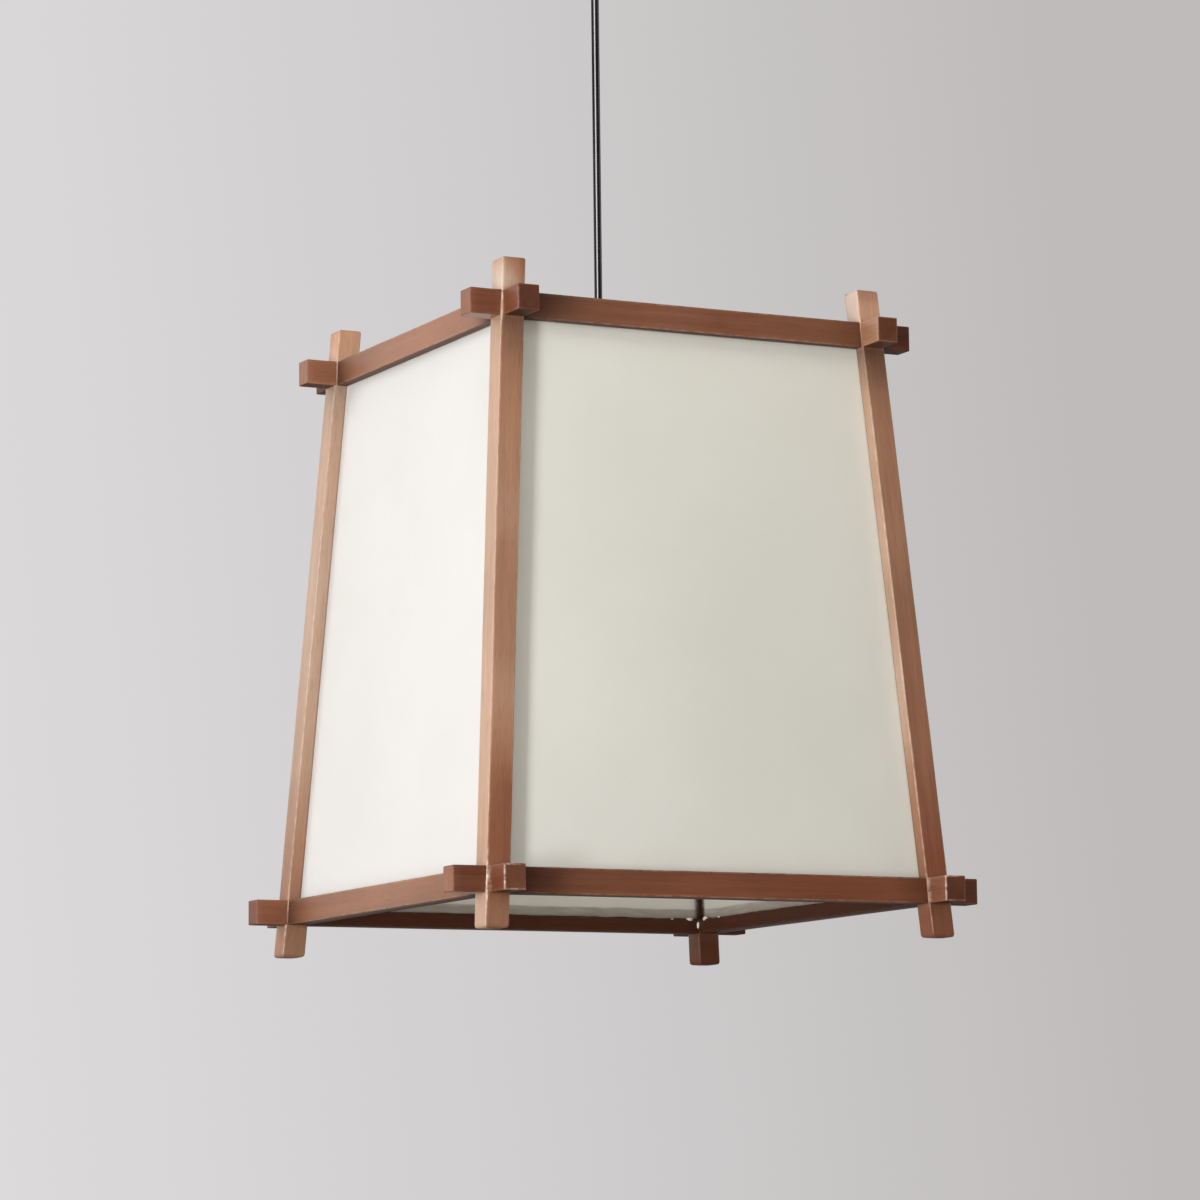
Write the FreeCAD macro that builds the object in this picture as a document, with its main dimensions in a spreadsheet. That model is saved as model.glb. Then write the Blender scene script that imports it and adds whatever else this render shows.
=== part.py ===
import FreeCAD, Part
import os

# A pendant lamp: a square lantern of raked posts, rails and projecting rail ends with four glued-in panels, hung by one
# round cord from a ceiling canopy. Millimetres, +Z up, X along the front face, Y from front to back. The origin is in the
# ceiling plane, on the cord's axis, so everything hangs to -Z.

V = FreeCAD.Vector
ROT = FreeCAD.Rotation
doc = FreeCAD.newDocument("pendant_lamp")
sheet = doc.addObject("Spreadsheet::Sheet", "Dims")

DIMS = [
    # lantern frame
    ("rail_top_z", -285.0), ("bot_top_z", -628.0), ("post_top_z", -264.0), ("post_bot_z", -664.0),
    ("half_top", 129.5), ("rake", 0.071), ("post_w", 15.0), ("rail_d", 14.0), ("rail_h", 15.5), ("proud", 0.6), ("rail_back", 0.8),
    ("reach_top", 150.0), ("reach_bot", 175.0), ("post_ease", 0.9), ("rail_ease", 0.7),
    # rebate that the panels are glued into, and the panels
    ("reb_off", 8.5), ("reb_high", 6.5), ("glue_gap", 0.1), ("panel_t", 1.0), ("panel_side", 10.2), ("panel_end", 1.0),
    # dowels through rail, post and end block
    ("dowel_r", 2.0), ("dowel_len", 42.0), ("dowel_in", 3.5), ("dowel_back", 30.0), ("dowel_hole_r", 2.05),
    ("dowel_hi", 4.5), ("dowel_lo", 11.6), ("dowel_bot_lo", 11.0), ("dowel_bot_hi", 3.6),
    # hanger bar with its screws, threaded tube and nuts
    ("bar_w", 18.0), ("bar_t", 1.5), ("bar_drop", 0.5), ("bar_gap", 0.1), ("tab_len", 8.0), ("bar_hole_r", 5.2),
    ("screw_r", 1.4), ("screw_len", 10.0), ("screw_head_r", 2.9), ("screw_head_h", 1.7), ("screw_dy", 5.0), ("screw_dz", 5.0),
    ("pilot_r", 1.45), ("tab_hole_r", 1.7), ("pilot_len", 10.6),
    ("nip_r", 4.9), ("nip_bore_r", 3.2), ("nip_top", 9.0), ("nip_low", 20.0), ("nut_r", 8.0), ("nut_t", 4.0), ("nut_hole_r", 4.95),
    # cord grips
    ("grip_r", 7.5), ("grip_tip_r", 4.6), ("grip_base", 8.5), ("grip_taper", 10.0), ("grip_bore_r", 2.8), ("grip_seat", 6.0),
    ("ugrip_bore_r", 2.55), ("ugrip_stem", 10.0),
    # lampholder
    ("cap_top_r", 9.5), ("cap_r", 19.5), ("cap_off", 6.1), ("cap_cone", 12.0), ("cap_skirt", 10.0), ("cap_wall", 2.0),
    ("holder_len", 34.0), ("holder_bore_r", 16.8), ("insert_r", 16.6), ("insert_t", 7.0), ("insert_hole_r", 1.6),
    ("shell_r", 14.4), ("shell_bore_r", 13.9), ("shell_len", 23.9), ("contact_r", 3.0), ("contact_t", 1.5),
    # bulb
    ("tip_off", 38.0), ("tip_r", 4.8), ("tip_t", 2.2), ("ins_gap", 0.3), ("ins_top_r", 6.0), ("ins_low_r", 10.8), ("ins_t", 3.2),
    ("bcap_r", 13.2), ("bcap_bore_r", 12.7), ("bcap_len", 20.5), ("bulb_neck_r", 13.8), ("bulb_wide_r", 28.5), ("bulb_cone", 38.6),
    ("bulb_wall", 1.6), ("globe_r", 30.0), ("globe_wall", 1.2), ("globe_up", 9.38), ("globe_cut", 18.2), ("globe_in_cut", 25.0),
    # cord, with the two bending points under the canopy
    ("cord_r", 2.5), ("pivot_hi", 43.0), ("pivot_lo", 63.0), ("pivot_gap", 1.0), ("cord_end", 20.0), ("cord_head", 15.0),
    # ceiling fitting
    ("plate_x", 96.0), ("plate_y", 40.0), ("plate_t", 2.0), ("fix_x", 38.0), ("fix_r", 2.6), ("wire_r", 6.0),
    ("stud_x", 24.0), ("stud_r", 2.0), ("stud_len", 31.0), ("stud_hole_r", 2.05), ("stud_clear_r", 2.3),
    ("can_r", 55.0), ("can_h", 25.0), ("can_wall", 1.2), ("can_round", 8.0), ("can_hole_r", 5.2),
    ("capnut_r", 4.4), ("capnut_t", 4.0), ("capnut_dome_r", 3.9), ("capnut_depth", 6.3),
    ("term_x", 26.0), ("term_y", 12.0), ("term_z", 12.0), ("term_in", 7.5), ("term_hole_r", 2.0), ("term_pitch", 8.0), ("term_deep", 6.0),
]
for i, (alias, value) in enumerate(DIMS):
    sheet.set("A%d" % (i + 1), alias)
    sheet.set("B%d" % (i + 1), str(value))
    sheet.setAlias("B%d" % (i + 1), alias)
doc.recompute()
VAL = dict(DIMS)


def d(alias):
    return "Dims." + alias


def wide(z):
    # half width over the posts' outer faces at height z
    return "(Dims.half_top + Dims.rake * (Dims.rail_top_z - (%s)))" % z


NODES = {}


def keep(label, obj):
    obj.Label = label
    NODES[label] = obj
    return obj


def bind(obj, **props):
    for prop, text in props.items():
        obj.setExpression(prop.replace("__", "."), text)


def place(obj, x, y, z, rot=None):
    obj.Placement = FreeCAD.Placement(V(0, 0, 0), rot or ROT())
    for axis, text in zip("xyz", (x, y, z)):
        obj.setExpression("Placement.Base.%s" % axis, text)


UP = ROT()
TO = {"+x": ROT(V(0, 1, 0), 90), "-x": ROT(V(0, 1, 0), -90), "+y": ROT(V(1, 0, 0), -90), "-y": ROT(V(1, 0, 0), 90),
      "+z": ROT(), "-z": ROT(V(1, 0, 0), 180)}
LAY = ROT(V(1, 0, 0), 90)  # a wedge grows along its own Y; this stands it up along Z


def prism(body, kind, name, z0, z1, low, high):
    # a solid between a rectangle (x0, x1, y0, y1) at z0 and another at z1
    w = body.newObject("PartDesign::%sWedge" % kind, name)
    bind(w, Ymin=z0, Ymax=z1, Xmin=low[0], Xmax=low[1], Zmin="-(%s)" % low[3], Zmax="-(%s)" % low[2],
         X2min=high[0], X2max=high[1], Z2min="-(%s)" % high[3], Z2max="-(%s)" % high[2])
    w.Placement = FreeCAD.Placement(V(0, 0, 0), LAY)
    return w


def ease(body, base, edges, size):
    doc.recompute()
    c = body.newObject("PartDesign::Chamfer", "Ease_" + body.Name)
    c.Base = (base, ["Edge%d" % e for e in edges])
    c.setExpression("Size", size)
    return c


def drill(body, name, toward, radius, length, x, y, z):
    s = body.newObject("PartDesign::SubtractiveCylinder", name)
    bind(s, Radius=radius, Height=length)
    place(s, x, y, z, TO[toward])
    return s


def neg(t):
    return "-(%s)" % t


def flip(sign, a, b):
    # the span a..b (a < b) on the positive side, or its mirror image
    return (a, b) if sign > 0 else (neg(b), neg(a))


TOP0 = d("rail_top_z")
TOP1 = "(Dims.rail_top_z - Dims.rail_h)"
BOT0 = d("bot_top_z")
BOT1 = "(Dims.bot_top_z - Dims.rail_h)"
REB_T = "(Dims.rail_top_z - Dims.rail_h + Dims.reb_high)"
REB_B = "(Dims.bot_top_z - Dims.reb_high)"
LEVELS = {
    "top": dict(z1=TOP0, z0=TOP1, out="(%s - Dims.proud)" % wide(TOP0), reach=d("reach_top"),
                zx="(Dims.rail_top_z - Dims.dowel_hi)", zy="(Dims.rail_top_z - Dims.dowel_lo)"),
    "bottom": dict(z1=BOT0, z0=BOT1, out="(%s - Dims.proud)" % wide(BOT0), reach=d("reach_bot"),
                   zx="(Dims.bot_top_z - Dims.dowel_bot_lo)", zy="(Dims.bot_top_z - Dims.dowel_bot_hi)"),
}
SIDE = {"front": ("y", -1), "back": ("y", 1), "left": ("x", -1), "right": ("x", 1)}
WORD = {("x", -1): "left", ("x", 1): "right", ("y", -1): "front", ("y", 1): "back"}
LONG_X, LONG_Y = [9, 10, 11, 12], [1, 3, 5, 7]
END = {("x", -1): [1, 2, 3, 4], ("x", 1): [5, 6, 7, 8], ("y", -1): [2, 6, 10, 12], ("y", 1): [4, 8, 9, 11]}


def lateral(lv):
    return "(%s - Dims.dowel_in)" % lv["out"]


# Posts: square in plan at every height, leaning inwards both ways, with the rebate for two panels cut out of the inner
# corner between the rails, and four dowel holes.
for sx in (-1, 1):
    for sy in (-1, 1):
        label = "post_%s_%s" % (WORD["y", sy], WORD["x", sx])
        body = doc.addObject("PartDesign::Body", label)
        keep(label, body)

        def square(z):
            a, b = "(%s - Dims.post_w)" % wide(z), wide(z)
            return flip(sx, a, b) + flip(sy, a, b)

        w = prism(body, "Additive", label + "_bar", d("post_bot_z"), d("post_top_z"), square(d("post_bot_z")), square(d("post_top_z")))
        ease(body, w, range(1, 13), d("post_ease"))

        def corner(z):
            a, b = "(%s - Dims.reb_off - 20)" % wide(z), "(%s - Dims.reb_off)" % wide(z)
            return flip(sx, a, b) + flip(sy, a, b)

        prism(body, "Subtractive", label + "_rebate", REB_B, REB_T, corner(REB_B), corner(REB_T))
        for lname, lv in LEVELS.items():
            zx, zy, lat = lv["zx"], lv["zy"], lateral(lv)
            ax, ay = "(%s - 40)" % wide(zx), "(%s - 40)" % wide(zy)
            drill(body, label + "_hx_" + lname, "+x" if sx > 0 else "-x", d("dowel_hole_r"), "60",
                  ax if sx > 0 else neg(ax), lat if sy > 0 else neg(lat), zx)
            drill(body, label + "_hy_" + lname, "+y" if sy > 0 else "-y", d("dowel_hole_r"), "60",
                  lat if sx > 0 else neg(lat), ay if sy > 0 else neg(ay), zy)

# Rails between the posts, and the end blocks in line with them outside the posts. Their faces are upright; only the ends
# that meet a post lean with it.
dowels = []
for lname, lv in LEVELS.items():
    z0, z1, out, reach = lv["z0"], lv["z1"], lv["out"], lv["reach"]
    inn = "(%s - Dims.rail_d)" % out
    lat = lateral(lv)
    for side, (axis, s) in SIDE.items():
        run = "x" if axis == "y" else "y"
        across = flip(s, inn, out)
        planed = flip(s, "(%s + Dims.rail_back)" % inn, out)  # the rails clear each other behind the posts
        zd = lv["z" + run]

        def span(z, run=run, planed=planed):
            e = "(%s - Dims.post_w)" % wide(z)
            return (neg(e), e) + planed if run == "x" else planed + (neg(e), e)

        label = "%s_rail_%s" % (lname, side)
        body = doc.addObject("PartDesign::Body", label)
        keep(label, body)
        w = prism(body, "Additive", label + "_bar", z0, z1, span(z0), span(z1))
        ease(body, w, LONG_X if run == "x" else LONG_Y, d("rail_ease"))
        r0, r1 = ("(%s - 1)" % z0, REB_T) if lname == "top" else (REB_B, "(%s + 1)" % z1)

        def step(z, run=run, s=s):
            a, b = "(%s - Dims.reb_off - 20)" % wide(z), "(%s - Dims.reb_off)" % wide(z)
            t = flip(s, a, b)
            return ("-200", "200") + t if run == "x" else t + ("-200", "200")

        prism(body, "Subtractive", label + "_rebate", r0, r1, step(r0), step(r1))
        start = "(%s - Dims.dowel_back - 0.5)" % wide(zd)
        for e in (-1, 1):
            along = start if e > 0 else neg(start)
            off = lat if s > 0 else neg(lat)
            xy = (along, off) if run == "x" else (off, along)
            drill(body, "%s_hole_%d" % (label, e), ("+" if e > 0 else "-") + run, d("dowel_hole_r"), "30", xy[0], xy[1], zd)
        if lname == "top" and run == "y":
            for dy in (-1, 1):
                x = "(%s - 0.1)" % inn
                drill(body, "%s_pilot_%d" % (label, dy), ("+" if s > 0 else "-") + "x", d("pilot_r"), d("pilot_len"),
                      x if s > 0 else neg(x), "%d * Dims.screw_dy" % dy, "(Dims.rail_top_z - Dims.screw_dz)")

        for e in (-1, 1):
            label = "%s_%s_end_%s" % (lname, side, WORD[run, e])
            body = doc.addObject("PartDesign::Body", label)
            keep(label, body)

            def stub(z, e=e, run=run, across=across):
                t = flip(e, wide(z), reach)
                return t + across if run == "x" else across + t

            w = prism(body, "Additive", label + "_bar", z0, z1, stub(z0), stub(z1))
            ease(body, w, (LONG_X if run == "x" else LONG_Y) + END[run, e], d("rail_ease"))
            a = "(%s - 5)" % wide(zd)
            along = a if e > 0 else neg(a)
            off = lat if s > 0 else neg(lat)
            xy = (along, off) if run == "x" else (off, along)
            drill(body, label + "_hole", ("+" if e > 0 else "-") + run, d("dowel_hole_r"),
                  "(5.5 + Dims.dowel_len - Dims.dowel_back)", xy[0], xy[1], zd)

            c = doc.addObject("Part::Cylinder", "dowel")
            bind(c, Radius=d("dowel_r"), Height=d("dowel_len"))
            a = "(%s - Dims.dowel_back)" % wide(zd)
            along = a if e > 0 else neg(a)
            xy = (along, off) if run == "x" else (off, along)
            place(c, xy[0], xy[1], zd, TO[("+" if e > 0 else "-") + run])
            dowels.append(c)
joint = doc.addObject("Part::Compound", "joint_dowels")
joint.Links = dowels
keep("joint_dowels", joint)

# Panels: flat trapezia glued on the shoulders of the rebates, leaning with the posts.
PZ0, PZ1 = "(%s + Dims.panel_end)" % REB_B, "(%s - Dims.panel_end)" % REB_T
for side, (axis, s) in SIDE.items():
    label = "panel_" + side
    body = doc.addObject("PartDesign::Body", label)
    keep(label, body)

    def sheet_at(z):
        a = "(%s - Dims.reb_off - Dims.glue_gap - Dims.panel_t)" % wide(z)
        b = "(%s - Dims.reb_off - Dims.glue_gap)" % wide(z)
        e = "(%s - Dims.panel_side)" % wide(z)
        t = flip(s, a, b)
        return (neg(e), e) + t if axis == "y" else t + (neg(e), e)

    prism(body, "Additive", label + "_sheet", PZ0, PZ1, sheet_at(PZ0), sheet_at(PZ1))


# Turned and flat pieces of the suspension, lampholder, bulb and ceiling fitting.
def cyl(r, h, x="0", y="0", z="0", toward="+z"):
    c = doc.addObject("Part::Cylinder", "cyl")
    bind(c, Radius=r, Height=h)
    place(c, x, y, z, TO[toward])
    return c


def cone(r1, r2, h, z):
    c = doc.addObject("Part::Cone", "cone")
    bind(c, Radius1=r1, Radius2=r2, Height=h)
    place(c, "0", "0", z)
    return c


def box(x, y, z, lx, ly, lz):
    b = doc.addObject("Part::Box", "box")
    bind(b, Length=lx, Width=ly, Height=lz)
    place(b, x, y, z)
    return b


def hexa(r, h, z, x="0"):
    p = doc.addObject("Part::Prism", "hexa")
    p.Polygon = 6
    bind(p, Circumradius=r, Height=h)
    place(p, x, "0", z)
    return p


def fuse(*objs):
    f = doc.addObject("Part::MultiFuse", "fuse")
    f.Shapes = list(objs)
    return f


def cut(base, *tools):
    for t in tools:
        c = doc.addObject("Part::Cut", "cut")
        c.Base, c.Tool = base, t
        base = c
    return base


def group(*objs):
    g = doc.addObject("Part::Compound", "group")
    g.Links = list(objs)
    return g


T = d("rail_top_z")


def below(text):
    # a height, measured downwards from the top of the top rails
    return "(Dims.rail_top_z - (%s))" % text


# hanger bar: a flat strip with turned-down ends, screwed to the inner faces of the left and right top rails
inner = "(%s - Dims.rail_d + Dims.rail_back - Dims.bar_gap)" % LEVELS["top"]["out"]
bar_low = below("Dims.bar_drop + Dims.bar_t")
strip = box(neg(inner), "-Dims.bar_w / 2", bar_low, "2 * %s" % inner, d("bar_w"), d("bar_t"))
tabs = [box(x, "-Dims.bar_w / 2", below("Dims.bar_drop + Dims.tab_len"), d("bar_t"), d("bar_w"), "(Dims.tab_len - Dims.bar_t / 2)")
        for x in (neg(inner), "(%s - Dims.bar_t)" % inner)]
holes = [cyl(d("bar_hole_r"), "20", z="(%s - 5)" % bar_low)]
screws = []
for s in (-1, 1):
    for dy in (-1, 1):
        zc = below("Dims.screw_dz")
        tw = "+x" if s > 0 else "-x"
        x = "(%s - 5)" % inner
        holes.append(cyl(d("tab_hole_r"), "10", x if s > 0 else neg(x), "%d * Dims.screw_dy" % dy, zc, tw))
        xh = "(%s - Dims.bar_t - Dims.screw_head_h)" % inner
        head = cyl(d("screw_head_r"), d("screw_head_h"), xh if s > 0 else neg(xh), "%d * Dims.screw_dy" % dy, zc, tw)
        xs = "(%s - Dims.bar_t - Dims.screw_head_h / 2)" % inner
        shank = cyl(d("screw_r"), "(Dims.screw_len + Dims.bar_t)", xs if s > 0 else neg(xs), "%d * Dims.screw_dy" % dy, zc, tw)
        screws.append(fuse(head, shank))
keep("hanger_bar", cut(fuse(strip, *tabs), *holes))
keep("hanger_screws", group(*screws))

# threaded tube through the bar, with a nut above and a nut below
keep("nipple", cut(cyl(d("nip_r"), "(Dims.nip_top + Dims.nip_low)", z=below("Dims.nip_low")),
                   cyl(d("nip_bore_r"), "60", z=below("Dims.nip_low + 10"))))
nuts = []
for z in (below("Dims.bar_drop"), "(%s - Dims.nut_t)" % bar_low):
    nuts.append(cut(hexa(d("nut_r"), d("nut_t"), z), cyl(d("nut_hole_r"), "20", z="(%s - 5)" % z)))
keep("lock_nuts", group(*nuts))

# lower cord grip, a tapered sleeve screwed on the tube's upper end
g0 = below("Dims.bar_drop - Dims.nut_t")
keep("lower_cord_grip", cut(
    fuse(cyl(d("grip_r"), d("grip_base"), z=g0),
         cone(d("grip_r"), d("grip_tip_r"), d("grip_taper"), "(%s + Dims.grip_base)" % g0)),
    cyl(d("nut_hole_r"), "(Dims.grip_seat + 5)", z="(%s - 5)" % g0), cyl(d("grip_bore_r"), "60", z="(%s - 5)" % g0)))

# lampholder: domed cap, skirt, porcelain insert, screw shell and centre contact
c0 = below("Dims.cap_off + Dims.cap_cone")
cap_low = below("Dims.cap_off + Dims.cap_cone + Dims.cap_skirt")
keep("lampholder_cap", cut(
    fuse(cone(d("cap_r"), d("cap_top_r"), d("cap_cone"), c0), cyl(d("cap_r"), d("cap_skirt"), z=cap_low)),
    cone("(Dims.cap_r - Dims.cap_wall)", "(Dims.cap_top_r - Dims.cap_wall)", "(Dims.cap_cone - Dims.cap_wall)", c0),
    cyl("(Dims.cap_r - Dims.cap_wall)", "(Dims.cap_skirt + 1)", z="(%s - 1)" % cap_low),
    cyl(d("nut_hole_r"), "30", z=c0)))
body_low = "(%s - Dims.holder_len)" % cap_low
keep("lampholder_body", cut(cyl(d("cap_r"), d("holder_len"), z=body_low), cyl(d("holder_bore_r"), "60", z="(%s - 5)" % body_low)))
ins_low = "(%s - 1 - Dims.insert_t)" % cap_low
keep("lampholder_insert", cut(cyl(d("insert_r"), d("insert_t"), z=ins_low),
                              cyl(d("insert_hole_r"), "20", x="9", z="(%s - 5)" % ins_low),
                              cyl(d("insert_hole_r"), "20", x="-9", z="(%s - 5)" % ins_low)))
keep("screw_shell", cut(cyl(d("shell_r"), d("shell_len"), z="(%s - 0.1 - Dims.shell_len)" % ins_low),
                        cyl(d("shell_bore_r"), "60", z="(%s - 40)" % ins_low)))
keep("centre_contact", cyl(d("contact_r"), d("contact_t"), z="(%s - Dims.contact_t)" % ins_low))

# bulb: contact tip, insulator, screw cap, conical body and opal globe
tip_low = below("Dims.tip_off + Dims.tip_t")
keep("bulb_tip", cone(d("tip_r"), "(Dims.tip_r - 1.4)", d("tip_t"), tip_low))
ins0 = "(%s - Dims.ins_gap - Dims.ins_t)" % tip_low
keep("bulb_insulator", cone(d("ins_low_r"), d("ins_top_r"), d("ins_t"), ins0))
bc0 = "(%s - Dims.bcap_len)" % ins0
keep("bulb_cap", cut(cyl(d("bcap_r"), d("bcap_len"), z=bc0), cyl(d("bcap_bore_r"), "(Dims.bcap_len + 4.5)", z="(%s - 5)" % bc0)))
bb0 = "(%s - Dims.bulb_cone)" % bc0
keep("bulb_body", cut(cone(d("bulb_wide_r"), d("bulb_neck_r"), d("bulb_cone"), bb0),
                      cone("(Dims.bulb_wide_r - Dims.bulb_wall)", "(Dims.bulb_neck_r - Dims.bulb_wall)", d("bulb_cone"), bb0)))


def ball(r, top):
    s = doc.addObject("Part::Sphere", "ball")
    s.Angle1 = -90
    bind(s, Radius=r, Angle2=top)
    place(s, "0", "0", "(%s - Dims.globe_up)" % bb0)
    return s


keep("bulb_globe", cut(ball(d("globe_r"), d("globe_cut")), ball("(Dims.globe_r - Dims.globe_wall)", d("globe_in_cut"))))

# cord: its head in the canopy, the short neck that bends, and the hanging length down into the lampholder cap
can_low = "(-Dims.can_h)"
p1, p2 = "(-Dims.pivot_hi)", "(-Dims.pivot_lo)"
keep("cord_top", cyl(d("cord_r"), "(%s + Dims.cord_head - %s - Dims.pivot_gap)" % (can_low, p1), z="(%s + Dims.pivot_gap)" % p1))
keep("cord_neck", cyl(d("cord_r"), "(%s - %s - 2 * Dims.pivot_gap)" % (p1, p2), z="(%s + Dims.pivot_gap)" % p2))
keep("cord", cyl(d("cord_r"), "(%s - Dims.pivot_gap - %s)" % (p2, below("Dims.cord_end")), z=below("Dims.cord_end")))

# ceiling fitting: plate with two fixing holes, two studs, canopy, cap nuts, cord grip with its nut, terminal block
plate = box("-Dims.plate_x / 2", "-Dims.plate_y / 2", "-Dims.plate_t", d("plate_x"), d("plate_y"), d("plate_t"))
plate_holes = [cyl(d("wire_r"), "20", z="-10")]
can_holes = [cyl(d("can_hole_r"), "20", z="(%s - 10)" % can_low)]
studs, capnuts = [], []
for s in (-1, 1):
    plate_holes.append(cyl(d("fix_r"), "20", x="%d * Dims.fix_x" % s, z="-10"))
    plate_holes.append(cyl(d("stud_hole_r"), "20", x="%d * Dims.stud_x" % s, z="-10"))
    can_holes.append(cyl(d("stud_clear_r"), "20", x="%d * Dims.stud_x" % s, z="(%s - 10)" % can_low))
    studs.append(cyl(d("stud_r"), d("stud_len"), x="%d * Dims.stud_x" % s, z="-Dims.stud_len"))
    dome = doc.addObject("Part::Sphere", "dome")
    dome.Angle1, dome.Angle2 = -90, 0
    bind(dome, Radius=d("capnut_dome_r"))
    place(dome, "%d * Dims.stud_x" % s, "0", "(%s - Dims.capnut_t)" % can_low)
    capnuts.append(cut(fuse(hexa(d("capnut_r"), d("capnut_t"), "(%s - Dims.capnut_t)" % can_low, "%d * Dims.stud_x" % s), dome),
                       cyl(d("stud_hole_r"), "(Dims.capnut_depth + 2)", x="%d * Dims.stud_x" % s, z="(%s - Dims.capnut_depth)" % can_low)))
keep("ceiling_bracket", cut(plate, *plate_holes))
keep("canopy_studs", group(*studs))
keep("cap_nuts", group(*capnuts))


def dish(r, h, z, rnd):
    b = doc.addObject("PartDesign::Body", "dish")
    c = b.newObject("PartDesign::AdditiveCylinder", "dish_drum")
    bind(c, Radius=r, Height=h)
    place(c, "0", "0", z)
    doc.recompute()
    low = [i + 1 for i, e in enumerate(c.Shape.Edges) if len(e.Vertexes) == 1 and abs(e.CenterOfMass.z - c.Shape.BoundBox.ZMin) < 1e-6]
    f = b.newObject("PartDesign::Fillet", "dish_round")
    f.Base = (c, ["Edge%d" % i for i in low])
    f.setExpression("Radius", rnd)
    return b


outer = dish(d("can_r"), d("can_h"), can_low, d("can_round"))
hollow = dish("(Dims.can_r - Dims.can_wall)", d("can_h"), "(%s + Dims.can_wall)" % can_low, "(Dims.can_round - Dims.can_wall)")
keep("canopy", cut(outer, hollow, *can_holes))

g1 = "(%s - Dims.grip_base)" % can_low
grip = fuse(cyl(d("grip_r"), d("grip_base"), z=g1), cyl(d("nip_r"), d("ugrip_stem"), z=can_low))
tip = doc.addObject("Part::Cone", "grip_tip")
bind(tip, Radius1=d("grip_tip_r"), Radius2=d("grip_r"), Height="(Dims.grip_taper - 1.5)")
place(tip, "0", "0", "(%s - Dims.grip_taper + 1.5)" % g1)
keep("upper_cord_grip", cut(fuse(grip, tip), cyl(d("ugrip_bore_r"), "60", z="(%s - 30)" % g1)))
gz = "(%s + Dims.can_wall)" % can_low
keep("grip_nut", cut(hexa(d("nut_r"), d("nut_t"), gz), cyl(d("nut_hole_r"), "20", z="(%s - 5)" % gz)))
tz = "(-Dims.plate_t - Dims.term_z)"
block = box("-Dims.term_x / 2", d("term_in"), tz, d("term_x"), d("term_y"), d("term_z"))
wells = [cyl(d("term_hole_r"), "(Dims.term_deep + 2)", x="%d * Dims.term_pitch" % i, y="(Dims.term_in + Dims.term_y / 2)", z="(%s - 2)" % tz)
         for i in (-1, 0, 1)]
keep("terminal_block", cut(block, *wells))

doc.recompute()

bad = []
for o in doc.Objects:
    if "Invalid" in o.State or "Error" in o.State:
        bad.append("%s (%s): %s" % (o.Name, o.Label, o.State))
for label, o in NODES.items():
    s = o.Shape
    if s.isNull() or not s.isValid() or not s.Solids:
        bad.append("%s: null, invalid or without a solid" % label)
if bad:
    raise RuntimeError("; ".join(bad))

os.makedirs("parts", exist_ok=True)
for label, o in NODES.items():
    o.Shape.exportStep("parts/%s.step" % label)
    b = o.Shape.BoundBox
    print("%-26s solids %2d  volume %10.1f  x %7.2f %7.2f  y %7.2f %7.2f  z %7.2f %7.2f" % (
        label, len(o.Shape.Solids), o.Shape.Volume, b.XMin, b.XMax, b.YMin, b.YMax, b.ZMin, b.ZMax))
print(len(NODES), "pieces")
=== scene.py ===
import math

import bmesh
import bpy
import numpy as np
from mathutils import Matrix, Vector, noise


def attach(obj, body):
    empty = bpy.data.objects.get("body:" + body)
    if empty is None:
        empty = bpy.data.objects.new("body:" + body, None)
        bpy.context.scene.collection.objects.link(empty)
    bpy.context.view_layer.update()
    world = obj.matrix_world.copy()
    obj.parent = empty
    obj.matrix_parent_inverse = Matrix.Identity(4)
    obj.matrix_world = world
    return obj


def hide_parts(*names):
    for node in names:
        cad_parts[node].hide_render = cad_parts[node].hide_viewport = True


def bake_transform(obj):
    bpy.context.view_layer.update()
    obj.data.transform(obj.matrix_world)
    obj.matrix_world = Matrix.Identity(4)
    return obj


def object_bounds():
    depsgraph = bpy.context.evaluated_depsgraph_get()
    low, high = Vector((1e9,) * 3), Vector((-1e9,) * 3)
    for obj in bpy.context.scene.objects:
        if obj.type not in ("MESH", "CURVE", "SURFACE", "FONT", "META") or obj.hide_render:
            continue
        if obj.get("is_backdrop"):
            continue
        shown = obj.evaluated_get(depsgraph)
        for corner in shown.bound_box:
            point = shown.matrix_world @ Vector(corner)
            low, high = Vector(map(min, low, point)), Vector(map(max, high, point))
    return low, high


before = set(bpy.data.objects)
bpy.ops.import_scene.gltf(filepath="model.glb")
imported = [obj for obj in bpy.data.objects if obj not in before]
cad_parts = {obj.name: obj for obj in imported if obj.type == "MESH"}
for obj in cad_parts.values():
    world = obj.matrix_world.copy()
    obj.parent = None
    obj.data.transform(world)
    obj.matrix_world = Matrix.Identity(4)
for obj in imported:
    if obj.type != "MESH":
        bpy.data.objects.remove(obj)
cad_low, cad_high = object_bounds()
scene = bpy.context.scene
scene.view_settings.view_transform = "Standard"
scene.view_settings.look = "None"
MM = 0.001

# ---------------------------------------------------------------------------------------------------------------------
# Camera at the photograph's viewing angle: from below, left of the front face.
YAW, PITCH, ROLL = math.radians(26.916), math.radians(7.885), math.radians(-0.66)
forward = Vector((math.sin(YAW) * math.cos(PITCH), math.cos(YAW) * math.cos(PITCH), math.sin(PITCH)))
right = Vector((math.cos(YAW), -math.sin(YAW), 0.0))
up = right.cross(forward)
right, up = right * math.cos(ROLL) + up * math.sin(ROLL), up * math.cos(ROLL) - right * math.sin(ROLL)
cam_data = bpy.data.cameras.new("camera")
cam_data.sensor_width = 36.0
cam_data.lens = 133.772
cam_data.clip_start, cam_data.clip_end = 0.05, 100.0
camera = bpy.data.objects.new("camera", cam_data)
scene.collection.objects.link(camera)
turn = Matrix((right, up, -forward)).transposed().to_4x4()
camera.matrix_world = Matrix.Translation(Vector((-1.24862, -2.45688, -0.82853))) @ turn
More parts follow.
